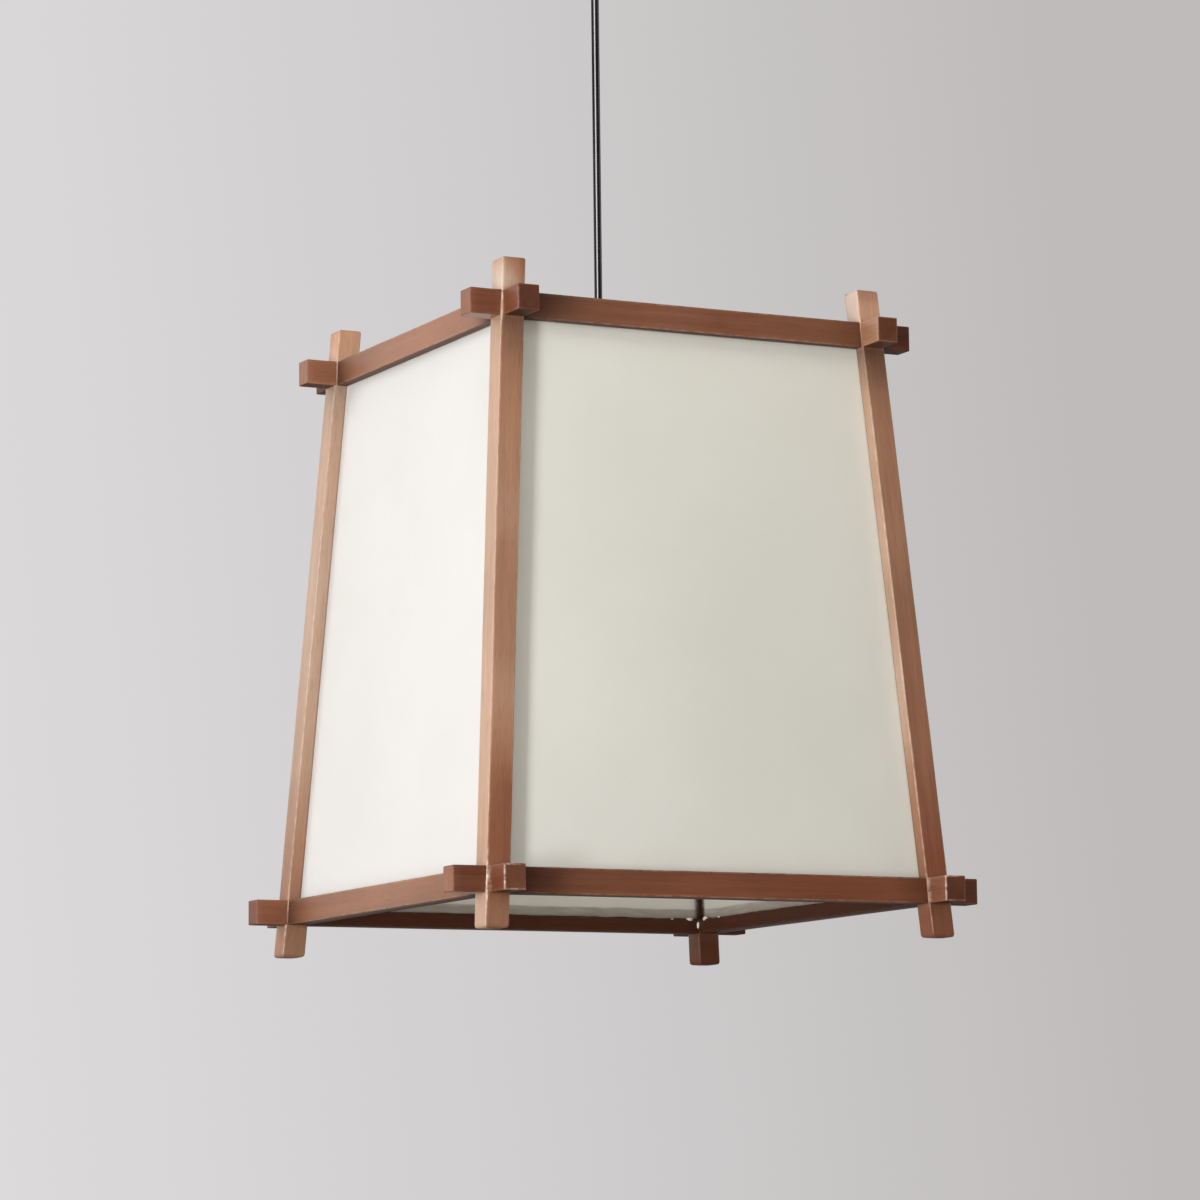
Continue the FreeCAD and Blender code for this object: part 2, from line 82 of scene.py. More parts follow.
scene.camera = camera


# ---------------------------------------------------------------------------------------------------------------------
# Small helpers for node materials.
class Mat:
    def __init__(self, name):
        self.m = bpy.data.materials.new(name)
        self.m.use_nodes = True
        self.t = self.m.node_tree
        self.t.nodes.clear()
        self.out = self.t.nodes.new("ShaderNodeOutputMaterial")
        self.b = self.t.nodes.new("ShaderNodeBsdfPrincipled")
        self.t.links.new(self.b.outputs[0], self.out.inputs[0])

    def n(self, kind, props=None, **sockets):
        node = self.t.nodes.new("ShaderNode" + kind)
        for k, v in (props or {}).items():
            setattr(node, k, v)
        for k, v in sockets.items():
            self.put(node.inputs[int(k[1:])] if k[0] == "i" and k[1:].isdigit() else node.inputs[k.replace("_", " ")], v)
        return node

    def put(self, socket, v):
        if isinstance(v, bpy.types.NodeSocket):
            self.t.links.new(v, socket)
        elif isinstance(v, bpy.types.Node):
            self.t.links.new(v.outputs[0], socket)
        else:
            socket.default_value = v

    def set(self, **sockets):
        for k, v in sockets.items():
            self.put(self.b.inputs[k.replace("_", " ")], v)
        return self

    def attr(self, name):
        return self.n("Attribute", {"attribute_name": name, "attribute_type": "GEOMETRY"})

    def math(self, op, a, b=0.0, clamp=False):
        return self.n("Math", {"operation": op, "use_clamp": clamp}, i0=a, i1=b).outputs[0]

    def scaled(self, vec, s):
        return self.n("VectorMath", {"operation": "MULTIPLY"}, i0=vec, i1=s).outputs[0]

    def noise(self, vec, scale=1.0, detail=3.0, rough=0.55, lac=2.0):
        return self.n("TexNoise", None, Vector=vec, Scale=scale, Detail=detail, Roughness=rough, Lacunarity=lac).outputs["Fac"]

    def ramp(self, fac, *stops):
        r = self.n("ValToRGB", None, Fac=fac)
        e = r.color_ramp.elements
        while len(e) < len(stops):
            e.new(0.5)
        for el, (p, c) in zip(e, stops):
            el.position = p
            el.color = (*c, 1.0) if isinstance(c, (tuple, list)) else (c, c, c, 1.0)
        return r.outputs[0]

    def mix(self, fac, a, b, mode="MIX"):
        x = self.n("Mix", {"data_type": "RGBA", "blend_type": mode, "clamp_factor": True})
        self.put(x.inputs[0], fac)
        for s, v in ((x.inputs[6], a), (x.inputs[7], b)):
            self.put(s, (*v, 1.0) if isinstance(v, tuple) and len(v) == 3 else v)
        return x.outputs[2]

    def map(self, v, a, b, c, d):
        return self.n("MapRange", None, Value=v, From_Min=a, From_Max=b, To_Min=c, To_Max=d).outputs[0]

    def bump(self, height, strength, distance, normal=None):
        x = self.n("Bump", None, Strength=strength, Distance=distance, Height=height)
        if normal is not None:
            self.put(x.inputs["Normal"], normal)
        return x.outputs[0]


def wood(name, dark, mid, light, pale, painted_sheen, worn_and_glint, rough=0.42):
    # attributes: grain (metres, x along the fibres), tone, pale (less stained wood, and painted light and sheen where
    # faces and heads face the light), the painted light on the post heads, the painted shade (inner sides, undersides,
    # by the joints, faces turned from the light) with darker end grain, edge (worn edges, painted lighter also as
    # highlights)
    m = Mat(name)
    g = m.attr("grain").outputs["Vector"]
    tone, edge = m.attr("tone").outputs["Fac"], m.attr("edge").outputs["Fac"]
    light_part, shade = m.attr("pale").outputs["Fac"], m.attr("shade").outputs["Fac"]
    wander = m.noise(m.scaled(g, (9.0, 40.0, 40.0)), detail=2.0)
    bands = m.noise(m.scaled(g, (5.0, 210.0, 210.0)), detail=3.0, rough=0.6)
    streak = m.noise(m.scaled(g, (16.0, 900.0, 900.0)), detail=4.0, rough=0.65)
    pores = m.noise(m.scaled(g, (90.0, 3600.0, 3600.0)), detail=2.0, rough=0.5)
    fig = m.math("ADD", m.math("MULTIPLY", bands, 0.30), m.math("MULTIPLY", streak, 0.30))
    fig = m.math("ADD", m.math("ADD", fig, 0.20), m.math("MULTIPLY", m.math("SUBTRACT", wander, 0.5), 0.40))
    fig = m.math("ADD", fig, m.math("MULTIPLY", m.math("SUBTRACT", tone, 0.5), 0.5))
    col = m.ramp(fig, (0.26, dark), (0.50, mid), (0.76, light))
    # paler wood, painted paler still where faces and heads face the light
    soft = m.ramp(fig, (0.26, tuple(0.72 * c for c in pale)), (0.50, pale), (0.76, tuple(min(1.22 * c, 1.0) for c in pale)))
    col = m.mix(light_part, col, soft)
    # painted sheen: the palest parts go whiter, for the sheen on the faces that face the light
    col = m.mix(m.map(light_part, 0.50, 1.0, 0.0, 1.0), col, m.ramp(fig, (0.30, tuple(0.82 * c for c in painted_sheen)), (0.70, tuple(1.12 * c for c in painted_sheen))))
    # painted light on the post heads: a brighter, more saturated wood colour
    col = m.mix(m.attr("painted_head_light").outputs["Fac"], col, m.ramp(fig, (0.30, (0.470, 0.240, 0.135)), (0.70, (0.640, 0.345, 0.205))))
    pore = m.ramp(pores, (0.34, 0.0), (0.44, 1.0))
    col = m.mix(m.math("MULTIPLY", m.math("SUBTRACT", 1.0, pore), 0.30), col, tuple(c * 0.55 for c in dark))
    patch = m.noise(m.scaled(g, (160.0, 420.0, 420.0)), detail=3.0, rough=0.6)
    # worn edges, painted lighter also as highlights along the arrises
    col = m.mix(m.math("MULTIPLY", edge, m.map(patch, 0.40, 0.62, 0.10, 0.85), True), col, worn_and_glint)
    # painted shade: the shaded parts, and the darker end grain, are mixed towards near-black
    col = m.mix(m.math("MULTIPLY", shade, 0.78), col, (0.029, 0.0090, 0.0070))
    m.set(Base_Color=col, Roughness=m.map(streak, 0.3, 0.7, rough - 0.06, rough + 0.08), IOR=1.42,
          Specular_IOR_Level=m.map(shade, 0.0, 1.0, 0.50, 0.14))
    m.set(Coat_Weight=m.map(shade, 0.0, 0.8, 0.14, 0.0), Coat_Roughness=0.20, Coat_IOR=1.5)
    height = m.math("ADD", m.math("MULTIPLY", streak, 0.6), m.math("MULTIPLY", pore, 0.4))
    m.set(Normal=m.bump(height, 0.30, 0.00010))
    return m.m


WOOD = wood("stained_wood", (0.118, 0.035, 0.0135), (0.207, 0.064, 0.0255), (0.300, 0.107, 0.046), (0.52, 0.305, 0.180), (0.555, 0.425, 0.330), (0.82, 0.63, 0.50))


# ---------------------------------------------------------------------------------------------------------------------
# Mesh helpers.
def mesh_object(name, verts, faces, attrs=None, smooth=True, sharp=40.0):
    me = bpy.data.meshes.new(name)
    me.from_pydata([tuple(v) for v in verts], [], faces)
    for key, values in (attrs or {}).items():
        kind = "FLOAT_VECTOR" if len(np.shape(values)) == 2 else "FLOAT"
        a = me.attributes.new(key, kind, "POINT")
        a.data.foreach_set("vector" if kind == "FLOAT_VECTOR" else "value", np.asarray(values, np.float32).ravel())
    bm = bmesh.new()
    bm.from_mesh(me)
    bmesh.ops.remove_doubles(bm, verts=bm.verts, dist=2e-7)
    bmesh.ops.recalc_face_normals(bm, faces=bm.faces)
    for f in bm.faces:
        f.smooth = smooth
    for e in bm.edges:
        e.smooth = len(e.link_faces) != 2 or e.calc_face_angle(0.0) < math.radians(sharp)
    bm.to_mesh(me)
    bm.free()
    me.update()
    o = bpy.data.objects.new(name, me)
    scene.collection.objects.link(o)
    return o


def finish_piece(o, mat, body, slot, *nodes):
    o.data.materials.clear()
    o.data.materials.append(mat)
    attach(o, body)
    if nodes:
        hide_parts(*nodes)
    return o


def wob(seed, a, b=0.0, c=0.0):
    # smooth noise in -1..1, the same on each run
    return noise.noise(Vector((a + seed * 17.31, b - seed * 5.77, c + seed * 2.9)))


# ---------------------------------------------------------------------------------------------------------------------
# Cord: one round black cord from the canopy's grip down into the lampholder, taut under the lamp's weight. It bends at two
# points under the canopy, so it is two pieces that meet between these points.
def route(points, steps):
    cu = bpy.data.curves.new("route", "CURVE")
    cu.dimensions = "3D"
    sp = cu.splines.new("NURBS")
    sp.points.add(len(points) - 1)
    for p, c in zip(sp.points, points):
        p.co = (*c, 1.0)
    sp.order_u = 3
    sp.use_endpoint_u = True
    sp.resolution_u = steps
    o = bpy.data.objects.new("route", cu)
    me = bpy.data.meshes.new_from_object(o)
    line = [v.co.copy() for v in me.vertices]
    bpy.data.meshes.remove(me)
    bpy.data.objects.remove(o)
    bpy.data.curves.remove(cu)
    return line


def tube(name, line, radius, sides=32):
    verts, faces = [], []
    for i, p in enumerate(line):
        along = (line[min(i + 1, len(line) - 1)] - line[max(i - 1, 0)]).normalized()
        a = along.orthogonal().normalized() if i == 0 else (a - along * a.dot(along)).normalized()
        b = along.cross(a)
        for k in range(sides):
            t = 2 * math.pi * k / sides
            r = radius * (1 + 0.004 * wob(1, p.z * 40, math.cos(t), math.sin(t)))
            verts.append(p + (a * math.cos(t) + b * math.sin(t)) * r)
    for i in range(len(line) - 1):
        for k in range(sides):
            j = (k + 1) % sides
            faces.append((i * sides + k, i * sides + j, (i + 1) * sides + j, (i + 1) * sides + k))
    faces.append(tuple(range(sides)))
    faces.append(tuple(range((len(line) - 1) * sides, len(line) * sides)))
    return mesh_object(name, verts, faces)


pvc = Mat("cord_pvc")
p = pvc.n("TexCoord").outputs["Object"]
fine = pvc.noise(pvc.scaled(p, (900.0, 900.0, 120.0)), detail=3.0)
soft = pvc.noise(pvc.scaled(p, (60.0, 60.0, 25.0)), detail=2.0)
pvc.set(Base_Color=pvc.ramp(soft, (0.3, (0.004, 0.004, 0.0045)), (0.7, (0.008, 0.008, 0.009))),
        Roughness=pvc.map(fine, 0.3, 0.7, 0.07, 0.11), IOR=1.5, Normal=pvc.bump(soft, 0.05, 0.0002))

CORD_R = 2.5 * MM
upper_line = route([(0, 0, -0.010), (0, 0, -0.030), (0, 0, -0.053)], 44)
lower_line = route([(0, 0, -0.053), (0, 0, -0.083), (0, 0, -0.275), (0, 0, -0.305)], 70)
cord_upper = tube("cord_upper", upper_line, CORD_R)
cord_lower = tube("cord_lower", lower_line, CORD_R)
for o, ends, nodes in ((cord_upper, ("ceiling_mount", "neck", -0.037, -0.049), ("cord_top",)),
                       (cord_lower, ("neck", "hanging_cord", -0.057, -0.069), ("cord_neck", "cord"))):
    o.data.materials.append(pvc.m)
    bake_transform(o)
    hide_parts(*nodes)


# ---------------------------------------------------------------------------------------------------------------------
# Lantern frame. Sections are polygons with rounded corners; every ring gets its own slightly different corner rounding and
# a few hundredths of a millimetre of planing marks, so that edges catch the light unevenly as hand-finished ones do.
HALF, RAKE, POST, RAIL_D, RAIL_H, PROUD, RAIL_BACK = 129.5, 0.071, 15.0, 14.0, 15.5, 0.6, 0.8
TOP_Z, BOT_Z, POST_TOP, POST_BOT = -285.0, -628.0, -264.0, -664.0
REACH = {"top": 150.0, "bottom": 175.0}
REB_OFF, REB_HIGH = 8.5, 6.5
REB_TOP, REB_BOT = TOP_Z - RAIL_H + REB_HIGH, BOT_Z - REB_HIGH
ARC = 4


def wide(z):
    return HALF + RAKE * (TOP_Z - z)


def rounded(corners, inset=0.0):
    # corners: (x, y, radius[, wear]); returns the loop's points and the wear, which is 0 beside the rounded edges; the
    # wear also sets painted highlights on the rounded edges
    pts, edge = [], []
    n = len(corners)
    for i, (x, y, r, *wear_and_glint) in enumerate(corners):
        c = np.array((x, y), float)
        d1 = np.array(corners[i - 1][:2], float) - c
        d2 = np.array(corners[(i + 1) % n][:2], float) - c
        d1, d2 = d1 / np.linalg.norm(d1), d2 / np.linalg.norm(d2)
        if r <= 0:
            pts.append(c)
            edge.append(0.0)
            continue
        c = c + (d1 + d2) * inset
        rr = max(r - inset, 0.12)
        mid = c + (d1 + d2) * rr
        pts.append(c + d1 * (rr + 0.55))
        edge.append(0.0)
        for k in range(ARC + 1):
            a = 0.5 * math.pi * k / ARC
            pts.append(mid - d2 * rr * math.cos(a) - d1 * rr * math.sin(a))
            edge.append(wear_and_glint[0] if wear_and_glint else 0.2)
        pts.append(c + d2 * (rr + 0.55))
        edge.append(0.0)
    return np.array(pts), edge


class Build:
    def __init__(self):
        self.v, self.f, self.grain, self.edge, self.pale, self.shade, self.painted_head_light = [], [], [], [], [], [], []

    def ring(self, pts3, edge, grain, pale=0.0, shade=0.0, painted_head_light=0.0):
        i, n = len(self.v), len(pts3)
        self.v += [tuple(p) for p in pts3]
        self.edge += list(edge)
        self.grain += list(grain)
        self.pale += list(pale) if isinstance(pale, list) else [pale] * n
        self.shade += list(shade) if isinstance(shade, list) else [shade] * n
        self.painted_head_light += list(painted_head_light) if isinstance(painted_head_light, list) else [painted_head_light] * n
        return list(range(i, len(self.v)))

    def skin(self, rings):
        for a, b in zip(rings, rings[1:]):
            n = len(a)
            for k in range(n):
                j = (k + 1) % n
                self.f.append((a[k], a[j], b[j], b[k]))

    def cap(self, ring):
        self.f.append(tuple(ring))

    def make(self, name, tone):
        v = [Vector(p) * MM for p in self.v]
        return mesh_object(name, v, self.f, {"grain": np.array(self.grain) * MM, "edge": np.array(self.edge),
                                             "pale": np.array(self.pale), "shade": np.array(self.shade), "painted_head_light": np.array(self.painted_head_light),
                                             "tone": np.full(len(self.v), tone)}, sharp=35.0)


def end_profile(r, steps=3, deep=None, crown=0.0):
    # (distance back from the end, inset) over a rounded end, from the side face to the end face
    deep = deep or r
    return [(crown + (deep - crown) * (1 - math.sin(a)), r * (1 - math.cos(a))) for a in (0.5 * math.pi * k / steps for k in range(steps + 1))]


def spans(a, b, step):
    n = max(2, int(round(abs(b - a) / step)))
    return [a + (b - a) * i / n for i in range(n + 1)]


tones = {}


def tone_of(name):
    tones[name] = len(tones)
    h = math.sin(len(tones) * 12.9898) * 43758.5453
    return 0.5 + 0.24 * (h - math.floor(h) - 0.5)


def clamp(x, a=0.0, b=1.0):
    return max(a, min(b, x))


WORD = {("x", -1): "left", ("x", 1): "right", ("y", -1): "front", ("y", 1): "back"}
POST_PALE = {(-1, -1): (0.63, 0.48), (1, -1): (0.60, 0.35), (-1, 1): (0.69, 0.50), (1, 1): (0.45, 0.45)}  # left or right face, front or back face: paler wood, painted paler still on the faces that face the light
POST_LOW = {(-1, -1): (0.1, 1.15), (1, -1): (1.0, 1.05), (-1, 1): (0.98, 1.0), (1, 1): (0.8, 0.8)}
# rails' paleness per side, top and bottom: the left rails, which face the light, painted paler
RAIL_PALE = {"left": (0.22, 0.22), "back": (0.14, 0.08), "front": (0.10, 0.02), "right": (0.14, 0.08)}
# foot: paleness on the left or right face and the front or back face, painted paler on lit faces; how dark, painted
# shade on the back right foot
POST_FOOT = {(-1, -1): ((0.63, 0.25), 0.0), (1, -1): ((0.35, 0.06), 0.0), (-1, 1): (None, 0.0), (1, 1): ((0.0, 0.0), 0.62)}
# painted shadow below the top rails: on the left or right face, and on the front or back face
POST_JOINT = {(-1, -1): (0.15, 0.60), (1, -1): (0.12, 0.80), (-1, 1): (0.30, 0.44), (1, 1): (0.3, 0.44)}
ARRIS = {(-1, -1): (0.50, 1.2, 1.2, 0.9), (1, -1): (0.10, 0.5, 1.2, 0.1), (-1, 1): (0.10, 0.2, 1.1, 0.7), (1, 1): (0.1, 0.2, 0.3, 0.1)}  # worn arris, painted lighter also as a highlight: along the post, at the upper and the lower joint, part of it on the foot
END_DEEP = {-1: 2.6, 1: 2.0}
# end blocks: how pale and how dark the sides are, the same for the end face, and the wear of the edges round the end;
# the paleness is painted light on lit faces, the darkness painted shade with darker end grain on the end faces, the
# wear painted lighter also as a highlight
BLOCK = {"top": (0.0, 0.10, 0.04, 0.42, 0.10), "bottom": (0.0, 0.32, 0.06, 0.34, 0.10),
         ("top", "left", "back"): (0.0, 0.85, 0.04, 0.60, 0.10), ("top", "right", "front"): (0.40, 0.0, 0.0, 0.50, 0.10), ("top", "back", "left"): (0.10, 0.02, 0.22, 0.12, 0.10),
         ("bottom", "back", "left"): (0.06, 0.20, 0.04, 0.46, 0.10), ("bottom", "left", "front"): (0.0, 0.32, 0.04, 0.48, 0.95),
         ("bottom", "right", "front"): (0.16, 0.12, 0.0, 0.62, 0.95), ("bottom", "front", "left"): (0.0, 0.56, 0.16, 0.22, 0.10),
         ("top", "front", "left"): (0.0, 0.34, 0.06, 0.14, 0.10), ("top", "front", "right"): (0.0, 0.70, 0.04, 0.56, 0.10),
         ("top", "left", "front"): (0.0, 0.12, 0.04, 0.74, 0.10), ("bottom", "front", "right"): (0.0, 0.44, 0.06, 0.36, 0.10)}
seed = 0
wood_pieces = {}
for sx in (-1, 1):
    for sy in (-1, 1):
        seed += 1
        name = "post_%s_%s" % (WORD["y", sy], WORD["x", sx])
        b = Build()

        def section(z, notch=False, inset=0.0, seed=seed, sx=sx, sy=sy):
            # outer arris first; the plain loop also has the two points where the rebate's faces start, at every height
            w = wide(z)
            q = 0.07
            lo, hi, sh = w - POST, w, w - REB_OFF

            def r(k, base):
                return base * (1.0 + 0.45 * wob(seed + 40 * k, z / 34.0, k))
            o1, o2 = q * wob(seed, z / 45.0, 1), q * wob(seed, z / 45.0, 2)
            i1, i2 = q * wob(seed, z / 45.0, 3), q * wob(seed, z / 45.0, 4)
            joint = max(clamp(1 - abs(z - TOP_Z + RAIL_H / 2) / 14.0), clamp(1 - abs(z - BOT_Z + RAIL_H / 2) / 14.0))
            wear_and_glint = ARRIS[sx, sy]
            worn_and_glint = wear_and_glint[0] * ((0.25 if (sx, sy) == (-1, -1) else 1.0) if z > BOT_Z - RAIL_H else wear_and_glint[3]) + (wear_and_glint[1] if z > -400.0 else wear_and_glint[2]) * joint ** 0.5 * (1.0 if z > BOT_Z - RAIL_H - 1.0 else wear_and_glint[3])
            low_joint = clamp(1 - abs(z - BOT_Z + RAIL_H / 2) / 14.0)
            side_wear_and_glint = 0.25 + (0.95 * low_joint ** 0.5 + 0.40 * (z < BOT_Z - RAIL_H) if (sx, sy) == (-1, 1) else 0.0)
            c = [(hi + o1, hi + o2, r(1, 0.75), worn_and_glint), (lo + i1, hi + o2, r(2, 0.6), 0.25), (lo + i1 + inset, sh + 1.0, 0),
                 (lo + i1 + inset, sh, 0)]
            c += [(sh, sh, 0)] if notch else [(lo + i1, lo + i2, r(4, 0.6), 0.2)]
            c += [(sh, lo + i2 + inset, 0), (sh + 1.0, lo + i2 + inset, 0), (hi + o1, lo + i2, r(3, 0.6), side_wear_and_glint)]
            return rounded(c, inset)

        def put(z, pts, edge, b=b, sx=sx, sy=sy, seed=seed):
            w = wide(z)
            p3 = [(sx * x, sy * y, z) for x, y in pts]
            g = [(-z + 900.0 * seed, x - w + 61.0 * seed, y - w + 23.0 * seed) for x, y in pts]
            head = clamp((z - TOP_Z + 1.0) / 3.0)
            low = (0.34 if z > BOT_Z - RAIL_H else 0.20) * clamp((-545.0 - z) / 70.0)
            inside = REB_BOT - 9.0 < z < TOP_Z + 1.0
            joint = clamp(1.0 - (TOP_Z - RAIL_H - z) / 32.0) if z < TOP_Z - RAIL_H + 0.01 else 0.0
            pale, shade, painted_head_light = [], [], []
            for x, y in pts:
                k = 1 if y > x else 0
                # painted light on the heads of the back left and front right posts
                if (sx, sy) == (-1, 1):
                    painted_head_light.append(head * (0.90 if y < w - POST + 2.0 else 0.70))
                elif (sx, sy) == (1, -1):
                    painted_head_light.append(head * clamp((y - w + 0.7) / 0.5) * (0.28 + 0.54 * clamp((-267.0 - z) / 12.0)))
                else:
                    painted_head_light.append(0.0)
                base = POST_PALE[sx, sy][k] + (0.12 if (sx, sy) != (-1, -1) else 0.03) * wob(seed, z / 48.0, 8.0 + k)
                if (sx, sy) == (-1, -1) and k == 1:
                    base += sum(a * math.exp(-((z - m) / 20.0) ** 2) for m, a in ((-328.0, -0.11), (-356.0, -0.05), (-420.0, 0.08), (-468.0, -0.02), (-522.0, 0.08), (-575.0, -0.13), (-602.0, -0.09)))
                # painted light: the heads above the top rails painted paler, as nothing shades them
                top = (0.55 if (sx, sy) != (-1, 1) else 0.46, 0.44)[k] + (0.45, 0.28)[k] * clamp((-268.0 - z) / 10.0)
                side_in = x < w - POST + 0.9 and y > x + 1.0
                if (sx, sy) == (-1, -1):
                    far = y > x + 1.0 and x < w - POST + 2.0  # the front face's right-hand edge
                    top = (0.64, 0.58)[k] + (0.36, 0.30)[k] * clamp((-266.0 - z) / 12.0) - 0.46 * far
                    base -= 0.20 * far * clamp((-560.0 - z) / 25.0)
                # painted light: the front right post's inner left face, which faces the light, painted paler
                if (sx, sy) == (1, -1) and k == 1:
                    base += 0.25 + 0.12 * math.exp(-((z + 500.0) / 45.0) ** 2) if side_in else -0.13 * math.exp(-((z + 525.0) / 32.0) ** 2)
                    top = 1.0 if side_in else top
                base += (top - base) * head
                base -= low * POST_LOW[sx, sy][k]
                base += (POST_FOOT[sx, sy][0][k] - base) * clamp((BOT_Z - RAIL_H - z) / 3.0) if POST_FOOT[sx, sy][0] else 0.0
                pale.append(clamp(base))
                # painted shade: inner sides dark inside the lantern, dark lines at the rebate's edges and notch corner,
                # painted shadow below the top rails, the back right foot dark
                inner = (0.92 if (sx, sy) == (1, 1) else 0.75) * clamp((w - POST / 2 - max(x, y)) / 3.0) if inside else 0.0
                rebate = abs(max(x, y) - w + REB_OFF) < 0.3 and min(x, y) < w - POST + 0.8 and REB_BOT - 0.1 < z < REB_TOP + 0.1
                rebate = rebate or (abs(x - w + REB_OFF) < 0.3 and abs(y - w + REB_OFF) < 0.3)
                inner = (0.80 + 0.15 * clamp((-585.0 - z) / 25.0)) if rebate else inner
                foot_dark = POST_FOOT[sx, sy][1] * clamp((BOT_Z - RAIL_H - z) / 2.0)
                shade.append(max(inner, joint * POST_JOINT[sx, sy][k], foot_dark))
            return b.ring(p3, edge, g, pale, shade, painted_head_light)

        def ending(z_end, sign):
            # rings over a rounded end, with the end face; the last straight ring comes first
            rings = []
            for back, inset in end_profile(1.5, 5, END_DEEP[sign], 0.35):
                z = z_end - sign * back
                pts, edge = section(z, False, inset)
                rings.append(put(z, pts, [0.45 * e for e in edge]))
            for back, inset in ((0.20, 2.3), (0.06, 3.6), (0.0, 5.2)):
                pts, _ = section(z_end - sign * back, False, inset)
                rings.append(put(z_end - sign * back, pts, [0.0] * len(pts)))
            return rings

        low, high = ending(POST_BOT, -1), ending(POST_TOP, 1)
        foot = list(reversed(low)) + [put(z, *section(z)) for z in spans(POST_BOT + END_DEEP[-1], REB_BOT, 5)[1:]]
        mids = [put(z, *section(z, True)) for z in spans(REB_BOT, REB_TOP, 9)]
        head = [put(z, *section(z)) for z in spans(REB_TOP, POST_TOP - END_DEEP[1], 4)[:-1]] + high
        for part in (foot, mids, head):
            b.skin(part)
        b.cap(low[-1])
        b.cap(high[-1])
        # shelves at the rebate's two ends
        start = 2 * (ARC + 3) + 1  # index of the first of the rebate's points in a loop
        for ring, mid in ((foot[-1], mids[0]), (head[0], mids[-1])):
            b.f.append(tuple([ring[k] for k in range(start, start + ARC + 5)] + [mid[start + 1]]))
        o = b.make(name + "_wood", tone_of(name))
        finish_piece(o, WOOD, "lamp", "stained_wood", name)
        wood_pieces[name] = o

